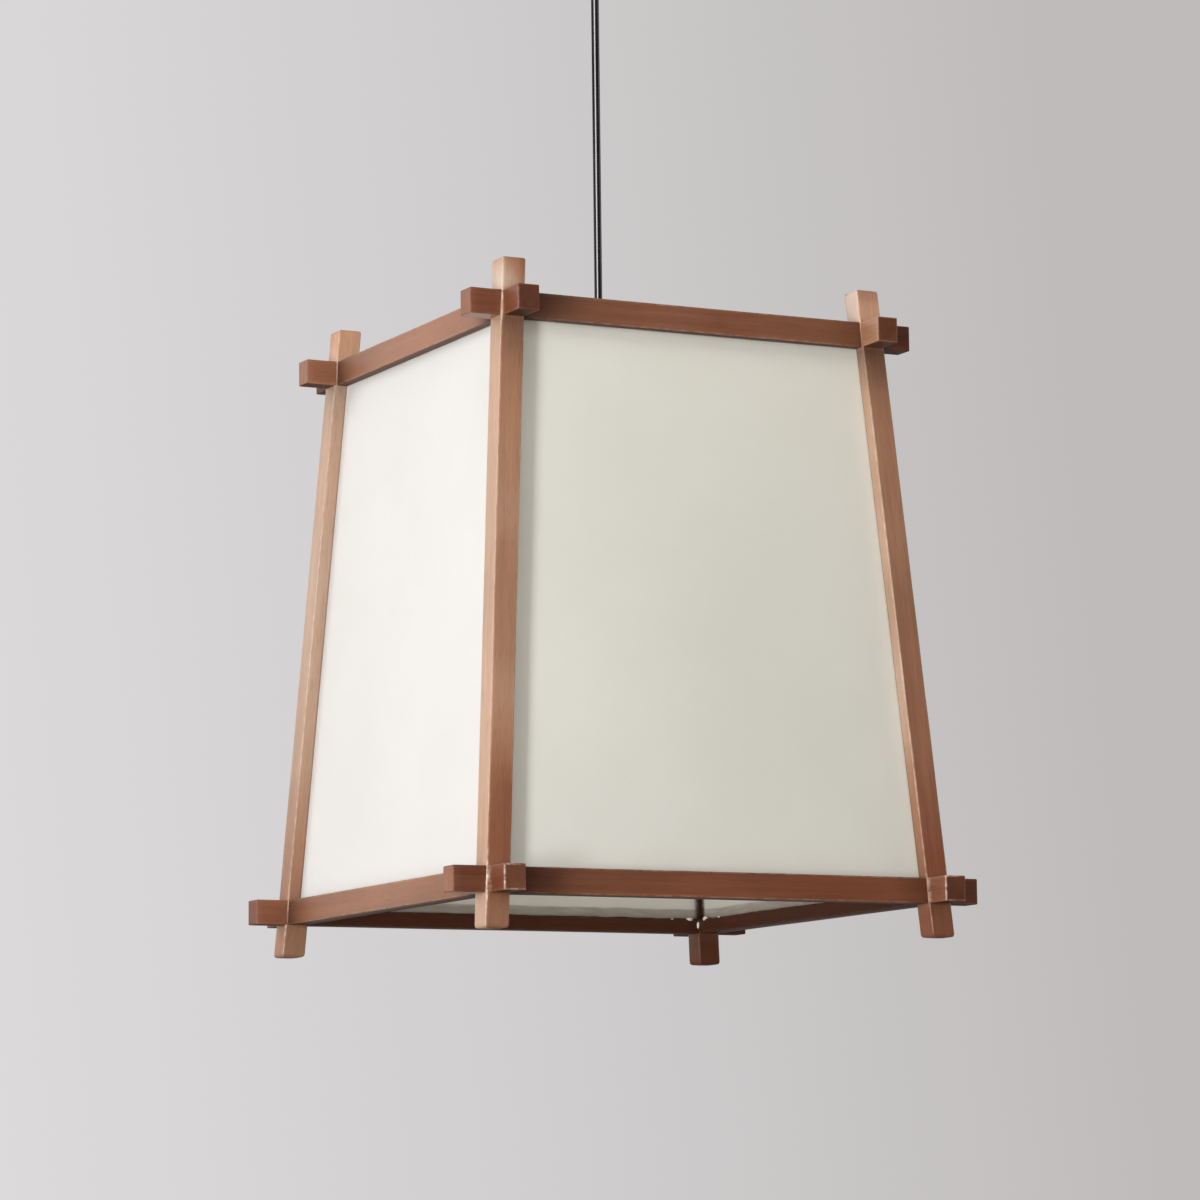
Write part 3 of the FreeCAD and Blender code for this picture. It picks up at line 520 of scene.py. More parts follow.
for level in ("top", "bottom"):
    z1 = TOP_Z if level == "top" else BOT_Z
    z0 = z1 - RAIL_H
    out = wide(z1) - PROUD
    for side, (axis, s) in {"front": ("y", -1), "back": ("y", 1), "left": ("x", -1), "right": ("x", 1)}.items():
        run = "x" if axis == "y" else "y"

        def spot(u, c, z, run=run, s=s):
            # u along the rail, c outwards from the lamp's axis
            return (u, s * c, z) if run == "x" else (s * c, u, z)

        def rail_section(u, kind, seed, inset=0.0):
            q = 0.06

            def r(k, base):
                return base * (1.0 + 0.45 * wob(seed + 40 * k, u / 31.0, k))
            inn = out - RAIL_D + (0.0 if kind == "block" else RAIL_BACK)
            o, i = out + q * wob(seed, u / 45.0, 1), inn + q * wob(seed, u / 45.0, 2)
            t, l = z1 + q * wob(seed, u / 45.0, 3), z0 + q * wob(seed, u / 45.0, 4)
            if kind == "block":
                c = [(o, t, r(1, 0.6), 0.08), (i, t, r(2, 0.6), 0.08), (i, l, r(3, 0.6), 0.10), (o, l, r(4, 0.6), 0.10)]
            elif level == "top":
                c = [(o, t, r(1, 0.6)), (i, t, r(2, 0.6)), (i, REB_TOP, 0.25), (wide(REB_TOP) - REB_OFF, REB_TOP, 0),
                     (wide(z0) - REB_OFF, l, 0.0), (o, l, r(4, 0.6))]
            else:
                c = [(o, t, r(1, 0.6)), (wide(z1) - REB_OFF, t, 0.0), (wide(REB_BOT) - REB_OFF, REB_BOT, 0), (i, REB_BOT, 0.25),
                     (i, l, r(3, 0.6)), (o, l, r(4, 0.6))]
            return rounded(c, inset)

        # the rail between the posts; its ends lean with the posts and go a hair into them
        seed += 1
        name = "%s_rail_%s" % (level, side)
        b = Build()
        rings = []
        n = 60

        def near_post(f, side=side):
            # painted shadow: darker next to the posts, where the end blocks shade the rails, over a shorter way at the
            # front rail's right-hand end; painted shade: the front and back rails darker all along, as faces turned
            # from the light
            t = (1.0 - abs(f)) * 118.0
            base = (0.08 if level == "top" else 0.16) if side in ("front", "back") else 0.0
            if f < 0 and side == "left":
                base += (0.42 if level == "top" else 0.15) * clamp(1.0 - t / 20.0)
            return base + (0.56 * clamp(1.0 - t / 22.0) if f > 0 and side == "front" else 0.54 * clamp(1.0 - t / 30.0) + (0.48 if side == "front" else 0.42) * clamp(1.0 - t / (94.0 if side == "front" else 85.0)))
        for j in range(n + 1):
            f = -1 + 2 * j / n
            pts, edge = rail_section(f * 120.0, "rail", seed)
            p3, g = [], []
            for c, z in pts:
                e = wide(z) - POST + 0.15
                p3.append(spot(f * e, c, z))
                g.append((f * e + 900.0 * seed, c - out + 61.0 * seed, z - z1 + 23.0 * seed))
            # painted shade on the inner side, next to the posts and on the top rails' undersides; the left rails
            # painted paler, as the lit side
            rings.append(b.ring(p3, edge, g, clamp(RAIL_PALE[side][level == "bottom"] + 0.06 * wob(seed, f * 3.0)), 
                                [max(clamp((out - 2.0 - c) / (RAIL_D - 4.0)), near_post(f),
                                     0.95 * clamp((z0 + 0.35 - z) / 0.3) * clamp((out - 0.3 - c) / 0.5) * (level == "top")) for c, z in pts]))
        b.skin(rings)
        b.cap(rings[0])
        b.cap(rings[-1])
        o = b.make(name + "_wood", tone_of(name))
        finish_piece(o, WOOD, "lamp", "stained_wood", name)
        wood_pieces[name] = o

        # the two end blocks outside the posts
        for e in (-1, 1):
            seed += 1
            name = "%s_%s_end_%s" % (level, side, WORD[run, e])
            b = Build()
            rings = []
            reach = REACH[level]
            side_pale, side_dark, end_pale, end_dark, end_wear_and_glint = BLOCK.get((level, side, WORD[run, e]), BLOCK[level])

            lit_underside = 1.0 if name in ("top_front_end_left", "bottom_front_end_left") else 0.0  # painted light: the side that faces down is painted paler on these two blocks, for the light reflected onto it from below

            def below(c, z):
                return clamp((z0 + 0.35 - z) / 0.3) * clamp((out - 0.3 - c) / 0.5) * clamp((c - out + RAIL_D - 0.3) / 0.5)

            def block_pale(pts):
                return [max(side_pale, (0.42 if level == "top" else 0.80) * lit_underside * below(c, z)) for c, z in pts]

            def block_dark(pts, base):
                # painted shade: the side that faces down is the darkest, and two blocks by the back right post darker
                # on their inner sides and undersides
                hidden = 0.95 if name in ("bottom_back_end_right", "bottom_right_end_back") else 0.0
                return [max(base * (1.0 - lit_underside * below(c, z)), 0.85 * (1.0 - lit_underside) * below(c, z),
                            hidden * clamp((out - RAIL_D + 1.2 - c) / 0.6), hidden * clamp((z0 + 0.8 - z) / 0.6)) for c, z in pts]
            for j in range(4):
                pts, edge = rail_section(e * (150.0 + 6 * j), "block", seed)
                p3, g = [], []
                for c, z in pts:
                    a = wide(z) - 0.15
                    u = a + (reach - 0.8 - a) * j / 4
                    p3.append(spot(e * u, c, z))
                    g.append((e * u + 900.0 * seed, c - out + 61.0 * seed, z - z1 + 23.0 * seed))
                if j == 0:
                    edge = [max(k, 0.8 * end_wear_and_glint) for k in edge]
                rings.append(b.ring(p3, edge, g, block_pale(pts), block_dark(pts, side_dark)))
            b.cap(rings[0])
            for back, inset in end_profile(0.8) + [(0.0, 1.4)]:
                u = reach - back
                pts, edge = rail_section(e * 174.0, "block", seed, inset)
                brightest_edge_at = out - RAIL_D if side == "right" else out  # the upright edge that is worn most and painted brightest, as a highlight
                edge = [0.0] * len(edge) if inset > 1.0 else [max(k, end_wear_and_glint * (1.0 if abs(c - brightest_edge_at) < 2.2 else 0.45 if z < z0 + 1.2 else 0.12) if back < 0.8 else 0.0)
                                                             for k, (c, z) in zip(edge, pts)]
                rings.append(b.ring([spot(e * u, c, z) for c, z in pts], edge,
                                    [(e * u + 900.0 * seed, c - out + 61.0 * seed, z - z1 + 23.0 * seed) for c, z in pts],
                                    end_pale if inset > 0.7 else block_pale(pts), end_dark if inset > 0.7 else block_dark(pts, side_dark)))
            b.skin(rings)
            b.cap(rings[-1])
            o = b.make(name + "_wood", tone_of(name))
            finish_piece(o, WOOD, "lamp", "stained_wood", name)
            wood_pieces[name] = o

# ---------------------------------------------------------------------------------------------------------------------
# Panels: thin smooth sheets glued in the rebates, with a hand-cut lower edge.
cloth = Mat("panel_fabric")
g = cloth.attr("cloth").outputs["Vector"]
weave_x = cloth.n("TexWave", {"wave_type": "BANDS", "bands_direction": "X"}, Vector=cloth.scaled(g, (330.0, 330.0, 330.0)), Scale=1.0,
                  Distortion=1.2, Detail=1.0).outputs["Fac"]
weave_y = cloth.n("TexWave", {"wave_type": "BANDS", "bands_direction": "Y"}, Vector=cloth.scaled(g, (330.0, 330.0, 330.0)), Scale=1.0,
                  Distortion=1.2, Detail=1.0).outputs["Fac"]
cloud = cloth.noise(cloth.scaled(g, (14.0, 14.0, 14.0)), detail=3.0)
slub = cloth.noise(cloth.scaled(g, (60.0, 900.0, 60.0)), detail=3.0)
weave = cloth.math("MULTIPLY", weave_x, weave_y)
tint = cloth.ramp(cloud, (0.3, (0.898, 0.896, 0.846)), (0.7, (0.923, 0.921, 0.877)))
tint = cloth.mix(cloth.math("MULTIPLY", slub, 0.10), tint, (0.87, 0.85, 0.78))
# painted light: the left sheet, which faces the light, a little whiter, the front one, in shade, yellower, and brighter
# and less yellow towards the near post
tint = cloth.mix(cloth.attr("lit_sheet").outputs["Fac"], tint, (0.982, 0.982, 1.010), "MULTIPLY")
tint = cloth.mix(cloth.attr("shaded_sheet").outputs["Fac"], tint, (0.998, 1.005, 0.988), "MULTIPLY")
tint = cloth.mix(cloth.attr("lit_near_post").outputs["Fac"], tint, (1.060, 1.064, 1.080), "MULTIPLY")
tint = cloth.mix(cloth.math("MULTIPLY", weave, 0.05), tint, (0.93, 0.915, 0.86))
stain = cloth.noise(cloth.scaled(g, (70.0, 420.0, 70.0)), detail=3.0)
tint = cloth.mix(cloth.math("MULTIPLY", cloth.attr("lap_shade").outputs["Fac"], cloth.map(stain, 0.3, 0.7, 0.55, 0.95)), tint, (0.60, 0.53, 0.44))  # painted shade on the glued border, where the rail behind blocks the light through the sheet
tint = cloth.mix(cloth.math("MULTIPLY", cloth.attr("rim").outputs["Fac"], cloth.map(stain, 0.3, 0.6, 0.70, 0.97)), tint, (0.055, 0.026, 0.018))  # painted shade in the lower inner corners, along the sheets' side borders
face = cloth.bump(weave, 0.10, 0.00008)
cloth.set(Base_Color=tint, Roughness=0.62, IOR=1.45, Normal=face)
through = cloth.n("BsdfTranslucent", None, Color=cloth.mix(1.0, tint, (1.0, 0.94, 0.875), "MULTIPLY"), Normal=face)
blend = cloth.n("MixShader", None, Fac=0.42, i1=cloth.b, i2=through)
cloth.t.links.new(blend.outputs[0], cloth.out.inputs[0])
CLOTH = cloth.m

PANEL_T, SIDE_IN = 0.8, 11.3
P_TOP, P_BOT = -295.0, -633.6
for side, (axis, s) in {"front": ("y", -1), "back": ("y", 1), "left": ("x", -1), "right": ("x", 1)}.items():
    seed += 1
    tall = P_TOP - P_BOT
    rows_at = [0.0, 2.0, 4.0, 5.4, 6.6] + [10.0 + (tall - 20.0) * i / 60 for i in range(61)] + [tall - 7.4, tall - 6.4, tall - 5.2, tall - 3.0, tall]
    cols_at = [0.0, 1.1, 2.2, 3.4] + [5.0 + (270.0 - 10.0) * i / 54 for i in range(55)] + [266.6, 267.8, 268.9, 270.0]
    nu, nv = len(cols_at) - 1, len(rows_at) - 1
    verts, faces, uv, lap_shade, corner_shade, lit_near_post = [], [], [], [], [], []
    for layer in (0, 1):
        for j in range(nv + 1):
            for i in range(nu + 1):
                fu, fv = -1 + 2 * cols_at[i] / 270.0, rows_at[j] / tall
                cut = P_BOT + 0.55 * wob(seed, fu * 9.0, 0.3) + 0.3 * wob(seed, fu * 31.0, 4.7)
                head = P_TOP + 0.4 * wob(seed, fu * 7.0, 9.1)
                z = cut + (head - cut) * fv
                half = wide(z) - SIDE_IN + 0.35 * wob(seed, fv * 23.0, 2.2 + (i > nu / 2)) + 0.2 * wob(seed, fv * 61.0, 5.1)
                bow = (1 - fu * fu) * 4 * fv * (1 - fv) * (0.35 * wob(seed, fu * 1.3, fv * 1.6) + 0.12)
                c = wide(z) - 8.6 - layer * PANEL_T + bow
                u = fu * half
                verts.append(Vector((u, s * c, z) if axis == "y" else (s * c, u, z)) * MM)
                uv.append((u * MM, z * MM, seed * 0.37))
                # painted light brighter towards the near post on the front sheet; painted shade on the glued borders
                # and in the lower inner corners
                lit_near_post.append(clamp((20.0 - u) / 140.0) if side == "front" else 0.0)
                lap_shade.append(max(clamp((6.4 - rows_at[j]) / 1.0), clamp((rows_at[j] - tall + 6.4) / 1.0)))
                corner_shade.append(clamp((3.4 - min(cols_at[i], 270.0 - cols_at[i])) / 2.3) * clamp((48.0 - rows_at[j]) / 28.0))
    size = (nu + 1) * (nv + 1)
    for layer in (0, 1):
        for j in range(nv):
            for i in range(nu):
                a = layer * size + j * (nu + 1) + i
                faces.append((a, a + 1, a + nu + 2, a + nu + 1))
    rim = ([(0, i) for i in range(nu)] + [(j, nu) for j in range(nv)] + [(nv, i) for i in range(nu, 0, -1)] + [(j, 0) for j in range(nv, 0, -1)])
    for (j0, i0), (j1, i1) in zip(rim, rim[1:] + rim[:1]):
        a, c = j0 * (nu + 1) + i0, j1 * (nu + 1) + i1
        faces.append((a, c, c + size, a + size))
    o = mesh_object("panel_%s_sheet" % side, verts, faces, {"cloth": np.array(uv), "lap_shade": np.array(lap_shade), "rim": np.array(corner_shade),
                                                                  "lit_near_post": np.array(lit_near_post), "lit_sheet": np.full(len(verts), 1.0 if side == "left" else 0.0),
                                                                  "shaded_sheet": np.full(len(verts), 1.0 if side == "front" else 0.0)})
    finish_piece(o, CLOTH, "lamp", "panel_fabric", "panel_" + side)
    lo_w, hi_w = 2 * (wide(P_BOT) - SIDE_IN) * MM, 2 * (wide(P_TOP) - SIDE_IN) * MM

# ---------------------------------------------------------------------------------------------------------------------
# Finishes of the fittings.
def metal(name, dark, light, rough, stretch, bump=0.12, metallic=1.0):
    m = Mat(name)
    p = m.n("TexCoord").outputs["Object"]
    cloud = m.noise(m.scaled(p, (110.0, 110.0, 110.0)), detail=4.0, rough=0.6)
    lines = m.noise(m.scaled(p, stretch), detail=4.0, rough=0.6)
    grime = m.noise(m.scaled(p, (420.0, 420.0, 420.0)), detail=3.0, rough=0.55)
    col = m.ramp(cloud, (0.30, dark), (0.68, light))
    col = m.mix(m.map(grime, 0.60, 0.78, 0.0, 0.35), col, tuple(0.45 * c for c in dark))
    m.set(Base_Color=col, Metallic=metallic, Roughness=m.map(lines, 0.3, 0.7, rough - 0.07, rough + 0.10))
    m.set(Normal=m.bump(lines, bump, 0.00006))
    return m.m


def moulded(name, dark, light, rough, grain=2600.0, bump=0.10, coat=0.0):
    m = Mat(name)
    p = m.n("TexCoord").outputs["Object"]
    cloud = m.noise(m.scaled(p, (70.0, 70.0, 70.0)), detail=3.0)
    flow = m.noise(m.scaled(p, (260.0, 260.0, 60.0)), detail=3.0)
    peel = m.noise(m.scaled(p, (grain, grain, grain)), detail=3.0, rough=0.6)
    mixed = m.math("ADD", m.math("MULTIPLY", cloud, 0.6), m.math("MULTIPLY", flow, 0.4))
    m.set(Base_Color=m.ramp(mixed, (0.32, dark), (0.68, light)), Roughness=m.map(peel, 0.3, 0.7, rough - 0.05, rough + 0.08),
          IOR=1.5, Normal=m.bump(peel, bump, 0.00008))
    if coat:
        m.set(Coat_Weight=coat, Coat_Roughness=0.08)
    return m.m


ZINC = metal("zinc_steel", (0.47, 0.48, 0.50), (0.66, 0.66, 0.66), 0.34, (900.0, 900.0, 140.0))
BRASS = metal("brass", (0.56, 0.38, 0.15), (0.80, 0.60, 0.28), 0.24, (700.0, 700.0, 700.0))
NICKEL = metal("bulb_nickel", (0.54, 0.53, 0.50), (0.74, 0.72, 0.68), 0.22, (160.0, 160.0, 1500.0))
NUT_BLACK = metal("cap_nut_black", (0.020, 0.020, 0.021), (0.055, 0.055, 0.056), 0.26, (600.0, 600.0, 600.0), metallic=0.7)
NYLON = moulded("black_nylon", (0.014, 0.014, 0.015), (0.030, 0.030, 0.031), 0.46)
BAKELITE = moulded("black_bakelite", (0.013, 0.011, 0.010), (0.031, 0.027, 0.025), 0.24, 900.0, 0.05, 0.3)
PORCELAIN = moulded("porcelain", (0.79, 0.78, 0.74), (0.88, 0.87, 0.84), 0.14, 500.0, 0.04)
BULB_WHITE = moulded("bulb_plastic", (0.79, 0.79, 0.78), (0.88, 0.88, 0.87), 0.38)
OPAL = moulded("opal_globe", (0.87, 0.87, 0.85), (0.93, 0.93, 0.91), 0.27, 1200.0, 0.03)
POWDER = moulded("canopy_paint", (0.018, 0.018, 0.019), (0.036, 0.036, 0.037), 0.42, 1500.0, 0.40)
TERMINAL = moulded("terminal_plastic", (0.76, 0.76, 0.72), (0.86, 0.86, 0.83), 0.45)
GLUE = moulded("panel_glue", (0.82, 0.79, 0.70), (0.94, 0.92, 0.87), 0.25, 900.0, 0.10)

dowel = Mat("dowel_wood")
p = dowel.n("TexCoord").outputs["Object"]
fibre = dowel.noise(dowel.scaled(p, (500.0, 500.0, 900.0)), detail=4.0, rough=0.6)
dowel.set(Base_Color=dowel.ramp(fibre, (0.3, (0.50, 0.36, 0.21)), (0.7, (0.72, 0.57, 0.39))), Roughness=0.62,
          Normal=dowel.bump(fibre, 0.2, 0.00008))
DOWEL = dowel.m


# ---------------------------------------------------------------------------------------------------------------------
# Turned, threaded and bent pieces. Everything here is in millimetres, about the cord's axis unless it says otherwise.
class Solid:
    def __init__(self):
        self.v, self.f = [], []

    def rows(self, rows, closed=False):
        base, n, last = len(self.v), len(rows[0]), len(rows)
        for r in rows:
            self.v += [tuple(p) for p in r]
        for i in range(last if closed else last - 1):
            a, b = base + i * n, base + (i + 1) % last * n
            for k in range(n):
                j = (k + 1) % n
                self.f.append((a + k, a + j, b + j, b + k))
        for i in () if closed else (0, last - 1):
            if max(math.dist(rows[i][0], p) for p in rows[i]) > 1e-6:
                self.f.append(tuple(base + i * n + k for k in range(n)))
        return self

    def turn(self, profile, sides=72, shape=None, closed=False, x=0.0, y=0.0, put=None):
        rows = []
        for r, z in profile:
            row = []
            for k in range(sides):
                a = 2 * math.pi * k / sides
                rr, zz = shape(a, r, z) if shape else (r, z)
                q = (x + rr * math.cos(a), y + rr * math.sin(a), zz)
                row.append(put(q) if put else q)
            rows.append(row)
        return self.rows(rows, closed)

    def nut(self, corner, bore, z0, z1, x=0.0, y=0.0, dome=0.0, sides=72):
        # hexagon with chamfered corners round a bore, or closed below by a dome of that height
        flat = corner * math.cos(math.pi / 6)
        rim = 0.965 * flat
        lines = []
        for k in range(sides):
            a = 2 * math.pi * k / sides
            h = flat / math.cos(a % (math.pi / 3) - math.pi / 6)
            drop = (h - rim) * 0.577
            if dome:
                line = [(0.0, z1), (rim, z1), (h, z1 - drop), (h, z0 + drop), (rim, z0)]
                line += [(0.94 * rim * math.cos(t), z0 - 0.15 - (dome - 0.15) * math.sin(t)) for t in (math.pi / 2 * i / 10 for i in range(11))]
            else:
                line = [(bore, z0 + 0.6), (bore + 0.6, z0), (rim, z0), (h, z0 + drop), (h, z1 - drop), (rim, z1), (bore + 0.6, z1), (bore, z1 - 0.6)]
            lines.append([(x + r * math.cos(a), y + r * math.sin(a), z) for r, z in line])
        return self.rows([list(row) for row in zip(*lines)], not dome)

    def make(self, name, mat, body, slot, *nodes, sharp=35.0):
        return finish_piece(mesh_object(name, [Vector(p) * MM for p in self.v], self.f, sharp=sharp), mat, body, slot, *nodes)


def thread(r, depth, pitch, z0, z1, per=8):
    # rows of a cylinder between two heights, and the shape that cuts a right-hand thread with run-outs into them
    n = max(2, int(round(abs(z1 - z0) / pitch * per)))
    low, high = min(z0, z1), max(z0, z1)

    def shape(a, rr, z):
        if not low - 1e-9 <= z <= high + 1e-9 or abs(rr - r) > 1e-9:
            return rr, z
        u = z / pitch - a / (2 * math.pi)
        u -= math.floor(u)
        cut = clamp(1.35 * abs(2 * u - 1) - 0.15)
        return rr - depth * max(cut, 1 - clamp(min(z - low, high - z) / (0.7 * pitch))), z
    return [(r, z0 + (z1 - z0) * i / n) for i in range(n + 1)], shape


def arc(cx, cz, r, a0, a1, n):
    return [(cx + r * math.cos(math.radians(a0 + (a1 - a0) * i / n)), cz + r * math.sin(math.radians(a0 + (a1 - a0) * i / n))) for i in range(n + 1)]


def ribbed(count, depth, r_min, z_low, z_high, other=None):
    def shape(a, r, z):
        if r >= r_min and z_low <= z <= z_high:
            return r - depth * (0.5 + 0.5 * math.cos(count * a)) ** 2, z
        return other(a, r, z) if other else (r, z)
    return shape


def sleeve(z0, sign, length, r0, r1, grooves=4):
    # tapering end with ring grooves, so that it gives way as the cord bends
    out = []
    step = length / (grooves + 1)
    for i in range(grooves):
        for f, inset in ((0.30, 0.0), (0.42, 0.12), (0.46, 0.75), (0.80, 0.75), (0.84, 0.12), (0.96, 0.0)):
            t = (i + f) * step
            out.append((r0 + (r1 - r0) * t / length - inset, z0 + sign * t))
    return out


# ceiling fitting
for node, mat in (("ceiling_bracket", ZINC), ("terminal_block", TERMINAL), ("joint_dowels", DOWEL)):
    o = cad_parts[node]
    o.data.materials.clear()
    o.data.materials.append(mat)
    if node != "joint_dowels":
        bev = o.modifiers.new("edges", "BEVEL")
        bev.width, bev.segments, bev.limit_method, bev.angle_limit = 0.35 * MM, 3, "ANGLE", math.radians(50)
        bev.harden_normals = False

canopy = Solid()
canopy.turn([(55.0, -0.3), (55.0, -2.2), (54.75, -2.35), (54.55, -2.7), (54.55, -3.1), (54.75, -3.45), (55.0, -3.6), (55.0, -9.0), (55.0, -16.0)]
            + arc(47.0, -17.0, 8.0, 0, -90, 12) + [(40.0, -25.0), (20.0, -25.0), (6.2, -25.0), (5.4, -24.9), (5.25, -24.6), (5.25, -24.1), (5.5, -23.8),
               (20.0, -23.8), (46.0, -23.8)] + arc(47.0, -17.0, 6.8, -90, 0, 10) + [(53.8, -9.0), (53.8, -0.4), (54.1, -0.05), (54.7, -0.05)],
            sides=168, closed=True)
canopy.make("canopy_shell", POWDER, "ceiling_mount", "canopy_paint", "canopy")

studs, caps = Solid(), Solid()
for x in (-24.0, 24.0):
    rows, cut = thread(2.0, 0.42, 0.7, -30.9, -0.1, per=7)
    studs.turn([(0.0, -31.0)] + rows + [(0.0, 0.0)], sides=28, shape=cut, x=x)
    caps.nut(4.4, 2.0, -29.0, -25.02, x=x, dome=3.9)
studs.make("canopy_stud_rods", ZINC, "ceiling_mount", "zinc_steel", "canopy_studs")
caps.make("canopy_cap_nuts", NUT_BLACK, "ceiling_mount", "cap_nut_black", "cap_nuts")

rows, cut = thread(4.9, 0.55, 1.0, -15.3, -24.4, per=7)
grip = Solid()
grip.turn([(2.62, -15.2), (3.0, -15.0), (4.3, -15.0)] + rows + [(4.5, -24.95), (7.1, -25.0), (7.35, -25.1), (7.5, -25.5)]
          + [(7.5, -26.0 - 0.45 * i) for i in range(16)] + [(7.4, -33.2), (7.1, -33.5)] + sleeve(-33.5, -1, 8.0, 6.9, 4.7)
          + [(4.75, -41.3), (4.6, -41.75), (4.3, -42.0), (3.7, -42.0), (3.3, -41.6), (2.9, -40.0), (2.66, -37.5), (2.62, -34.0)],
          sides=160, shape=ribbed(20, 0.5, 7.45, -32.8, -25.9, cut), closed=True)
grip.make("upper_grip", NYLON, "ceiling_mount", "black_nylon", "upper_cord_grip")
Solid().nut(8.0, 4.95, -23.8, -19.8).make("grip_hex_nut", ZINC, "ceiling_mount", "zinc_steel", "grip_nut")

screws = Solid()
for x in (-8.0, 0.0, 8.0):
    def slotted(a, r, z):
        return (r, z + 0.55) if abs(r * math.sin(a + 0.6 * x)) < 0.28 and z < -9.4 and r < 1.75 else (r, z)
    screws.turn([(0.2 * i, -9.9) for i in range(9)] + [(1.8, -9.75), (1.85, -9.4), (1.85, -8.2), (0.0, -8.2)], sides=96, shape=slotted, x=x, y=13.5)
screws.make("terminal_screws", BRASS, "ceiling_mount", "brass")

# hanger bar: a flat strip with rounded bends and turned-down ends; pan-head screws; threaded tube; nuts; cord grip
path = [(114.85, -293.4 + 0.9 * i, 1.0, 0.0) for i in range(6)]
path += [(112.9 + 1.95 * math.cos(t), -288.2 + 1.95 * math.sin(t), math.cos(t), math.sin(t)) for t in (math.pi / 2 * i / 8 for i in range(9))]
path += [(112.9 - 225.8 * i / 30, -286.25, 0.0, 1.0) for i in range(1, 31)]
path += [(-112.9 - 1.95 * math.sin(t), -288.2 + 1.95 * math.cos(t), -math.sin(t), math.cos(t)) for t in (math.pi / 2 * i / 8 for i in range(1, 9))]
path += [(-114.85, -288.9 - 0.9 * i, -1.0, 0.0) for i in range(6)]
rect = []
for cy, cq, a0 in ((8.65, 0.40, 0), (-8.65, 0.40, 90), (-8.65, -0.40, 180), (8.65, -0.40, 270)):
    rect += [(cy + 0.35 * math.cos(math.radians(a0 + 30 * i)), cq + 0.35 * math.sin(math.radians(a0 + 30 * i))) for i in range(4)]
bar = Solid()
rows = [[(x + nx * q, y, z + nz * q) for y, q in rect] for x, z, nx, nz in path]
bar.rows(rows)
bar.make("hanger_strip", ZINC, "lamp", "zinc_steel", "hanger_bar", sharp=28.0)

heads = Solid()
for s in (-1, 1):
    for y in (-5.0, 5.0):
        def cross(a, r, z, y=y, s=s):
            b = a + 0.9 * s + 0.13 * y
            arm = min(abs(r * math.sin(b)), abs(r * math.cos(b)))
            return (r, z - 0.9 * clamp(1.6 - 0.75 * r)) if arm < 0.34 and z > 0.9 and r < 1.9 else (r, z)

        def inwards(q, s=s, y=y):
            return (s * (114.1 - q[2]), y + q[0], -290.0 + q[1])
        rows, cut = thread(1.4, 0.4, 1.1, -0.6, -9.2, per=6)
        dome = [(0.16 * i, 1.7 - 0.055 * (0.16 * i) ** 2) for i in range(13)] + [(2.2, 1.40), (2.6, 1.10), (2.85, 0.70), (2.9, 0.40), (2.9, 0.05), (2.8, -0.02)]
        heads.turn(dome + rows + [(0.0, -10.2)], sides=72, shape=lambda a, r, z, cut=cut, cross=cross: cross(a, r, z) if z > 0 else cut(a, r, z), put=inwards)
heads.make("hanger_pan_screws", ZINC, "lamp", "zinc_steel", "hanger_screws")

rows, cut = thread(4.9, 0.55, 1.0, -304.9, -276.1, per=7)
tube_ = Solid()
tube_.turn([(3.2, -304.8), (3.4, -305.0), (4.3, -305.0)] + rows + [(4.3, -276.0), (3.4, -276.0), (3.2, -276.2), (3.2, -290.0)], sides=44, shape=cut, closed=True)
tube_.make("threaded_tube", ZINC, "lamp", "zinc_steel", "nipple")
nuts = Solid()
nuts.nut(8.0, 4.95, -285.5, -281.5)
nuts.nut(8.0, 4.95, -291.0, -287.0)
nuts.make("tube_lock_nuts", ZINC, "lamp", "zinc_steel", "lock_nuts")

grip = Solid()
grip.turn([(4.95, -281.3), (5.2, -281.5), (7.1, -281.5), (7.35, -281.4), (7.5, -281.0)] + [(7.5, -280.5 + 0.45 * i) for i in range(16)]
          + [(7.4, -273.3), (7.1, -273.0)] + sleeve(-273.0, 1, 9.4, 6.9, 4.7)
          + [(4.75, -263.7), (4.6, -263.25), (4.3, -263.0), (3.5, -263.0), (3.05, -263.4), (2.9, -265.0), (2.85, -270.0), (2.85, -275.4), (4.95, -275.5)],
          sides=160, shape=ribbed(20, 0.5, 7.45, -280.6, -273.7), closed=True)
grip.make("lower_grip", NYLON, "lamp", "black_nylon", "lower_cord_grip")

# lampholder: domed cap with a fluted skirt, body with a coarse outer thread, porcelain insert, rolled screw shell, contact leaf
cap = Solid()
shoulder = [(9.5 + 9.4 * (1 - math.cos(t)) ** 0.85, -294.6 - 9.6 * math.sin(t) ** 1.25) for t in (math.pi / 2 * i / 14 for i in range(15))]
cap.turn([(5.3, -291.3), (5.6, -291.1), (8.9, -291.1), (9.35, -291.3), (9.5, -291.8), (9.5, -293.6)] + shoulder
         + [(19.3, -304.5), (19.5, -305.0)] + [(19.5, -305.6 - 0.45 * i) for i in range(15)] + [(19.5, -312.5), (19.35, -312.9), (19.0, -313.05), (17.6, -313.05),
            (17.5, -312.8), (17.5, -304.2), (15.0, -300.0), (9.0, -296.6), (5.3, -296.2)],
         sides=240, shape=ribbed(40, 0.45, 19.45, -312.0, -305.7), closed=True)
cap.make("lampholder_dome", BAKELITE, "lamp", "black_bakelite", "lampholder_cap")
rows, cut = thread(19.2, 0.75, 2.6, -320.6, -342.0, per=12)
skirt = Solid()
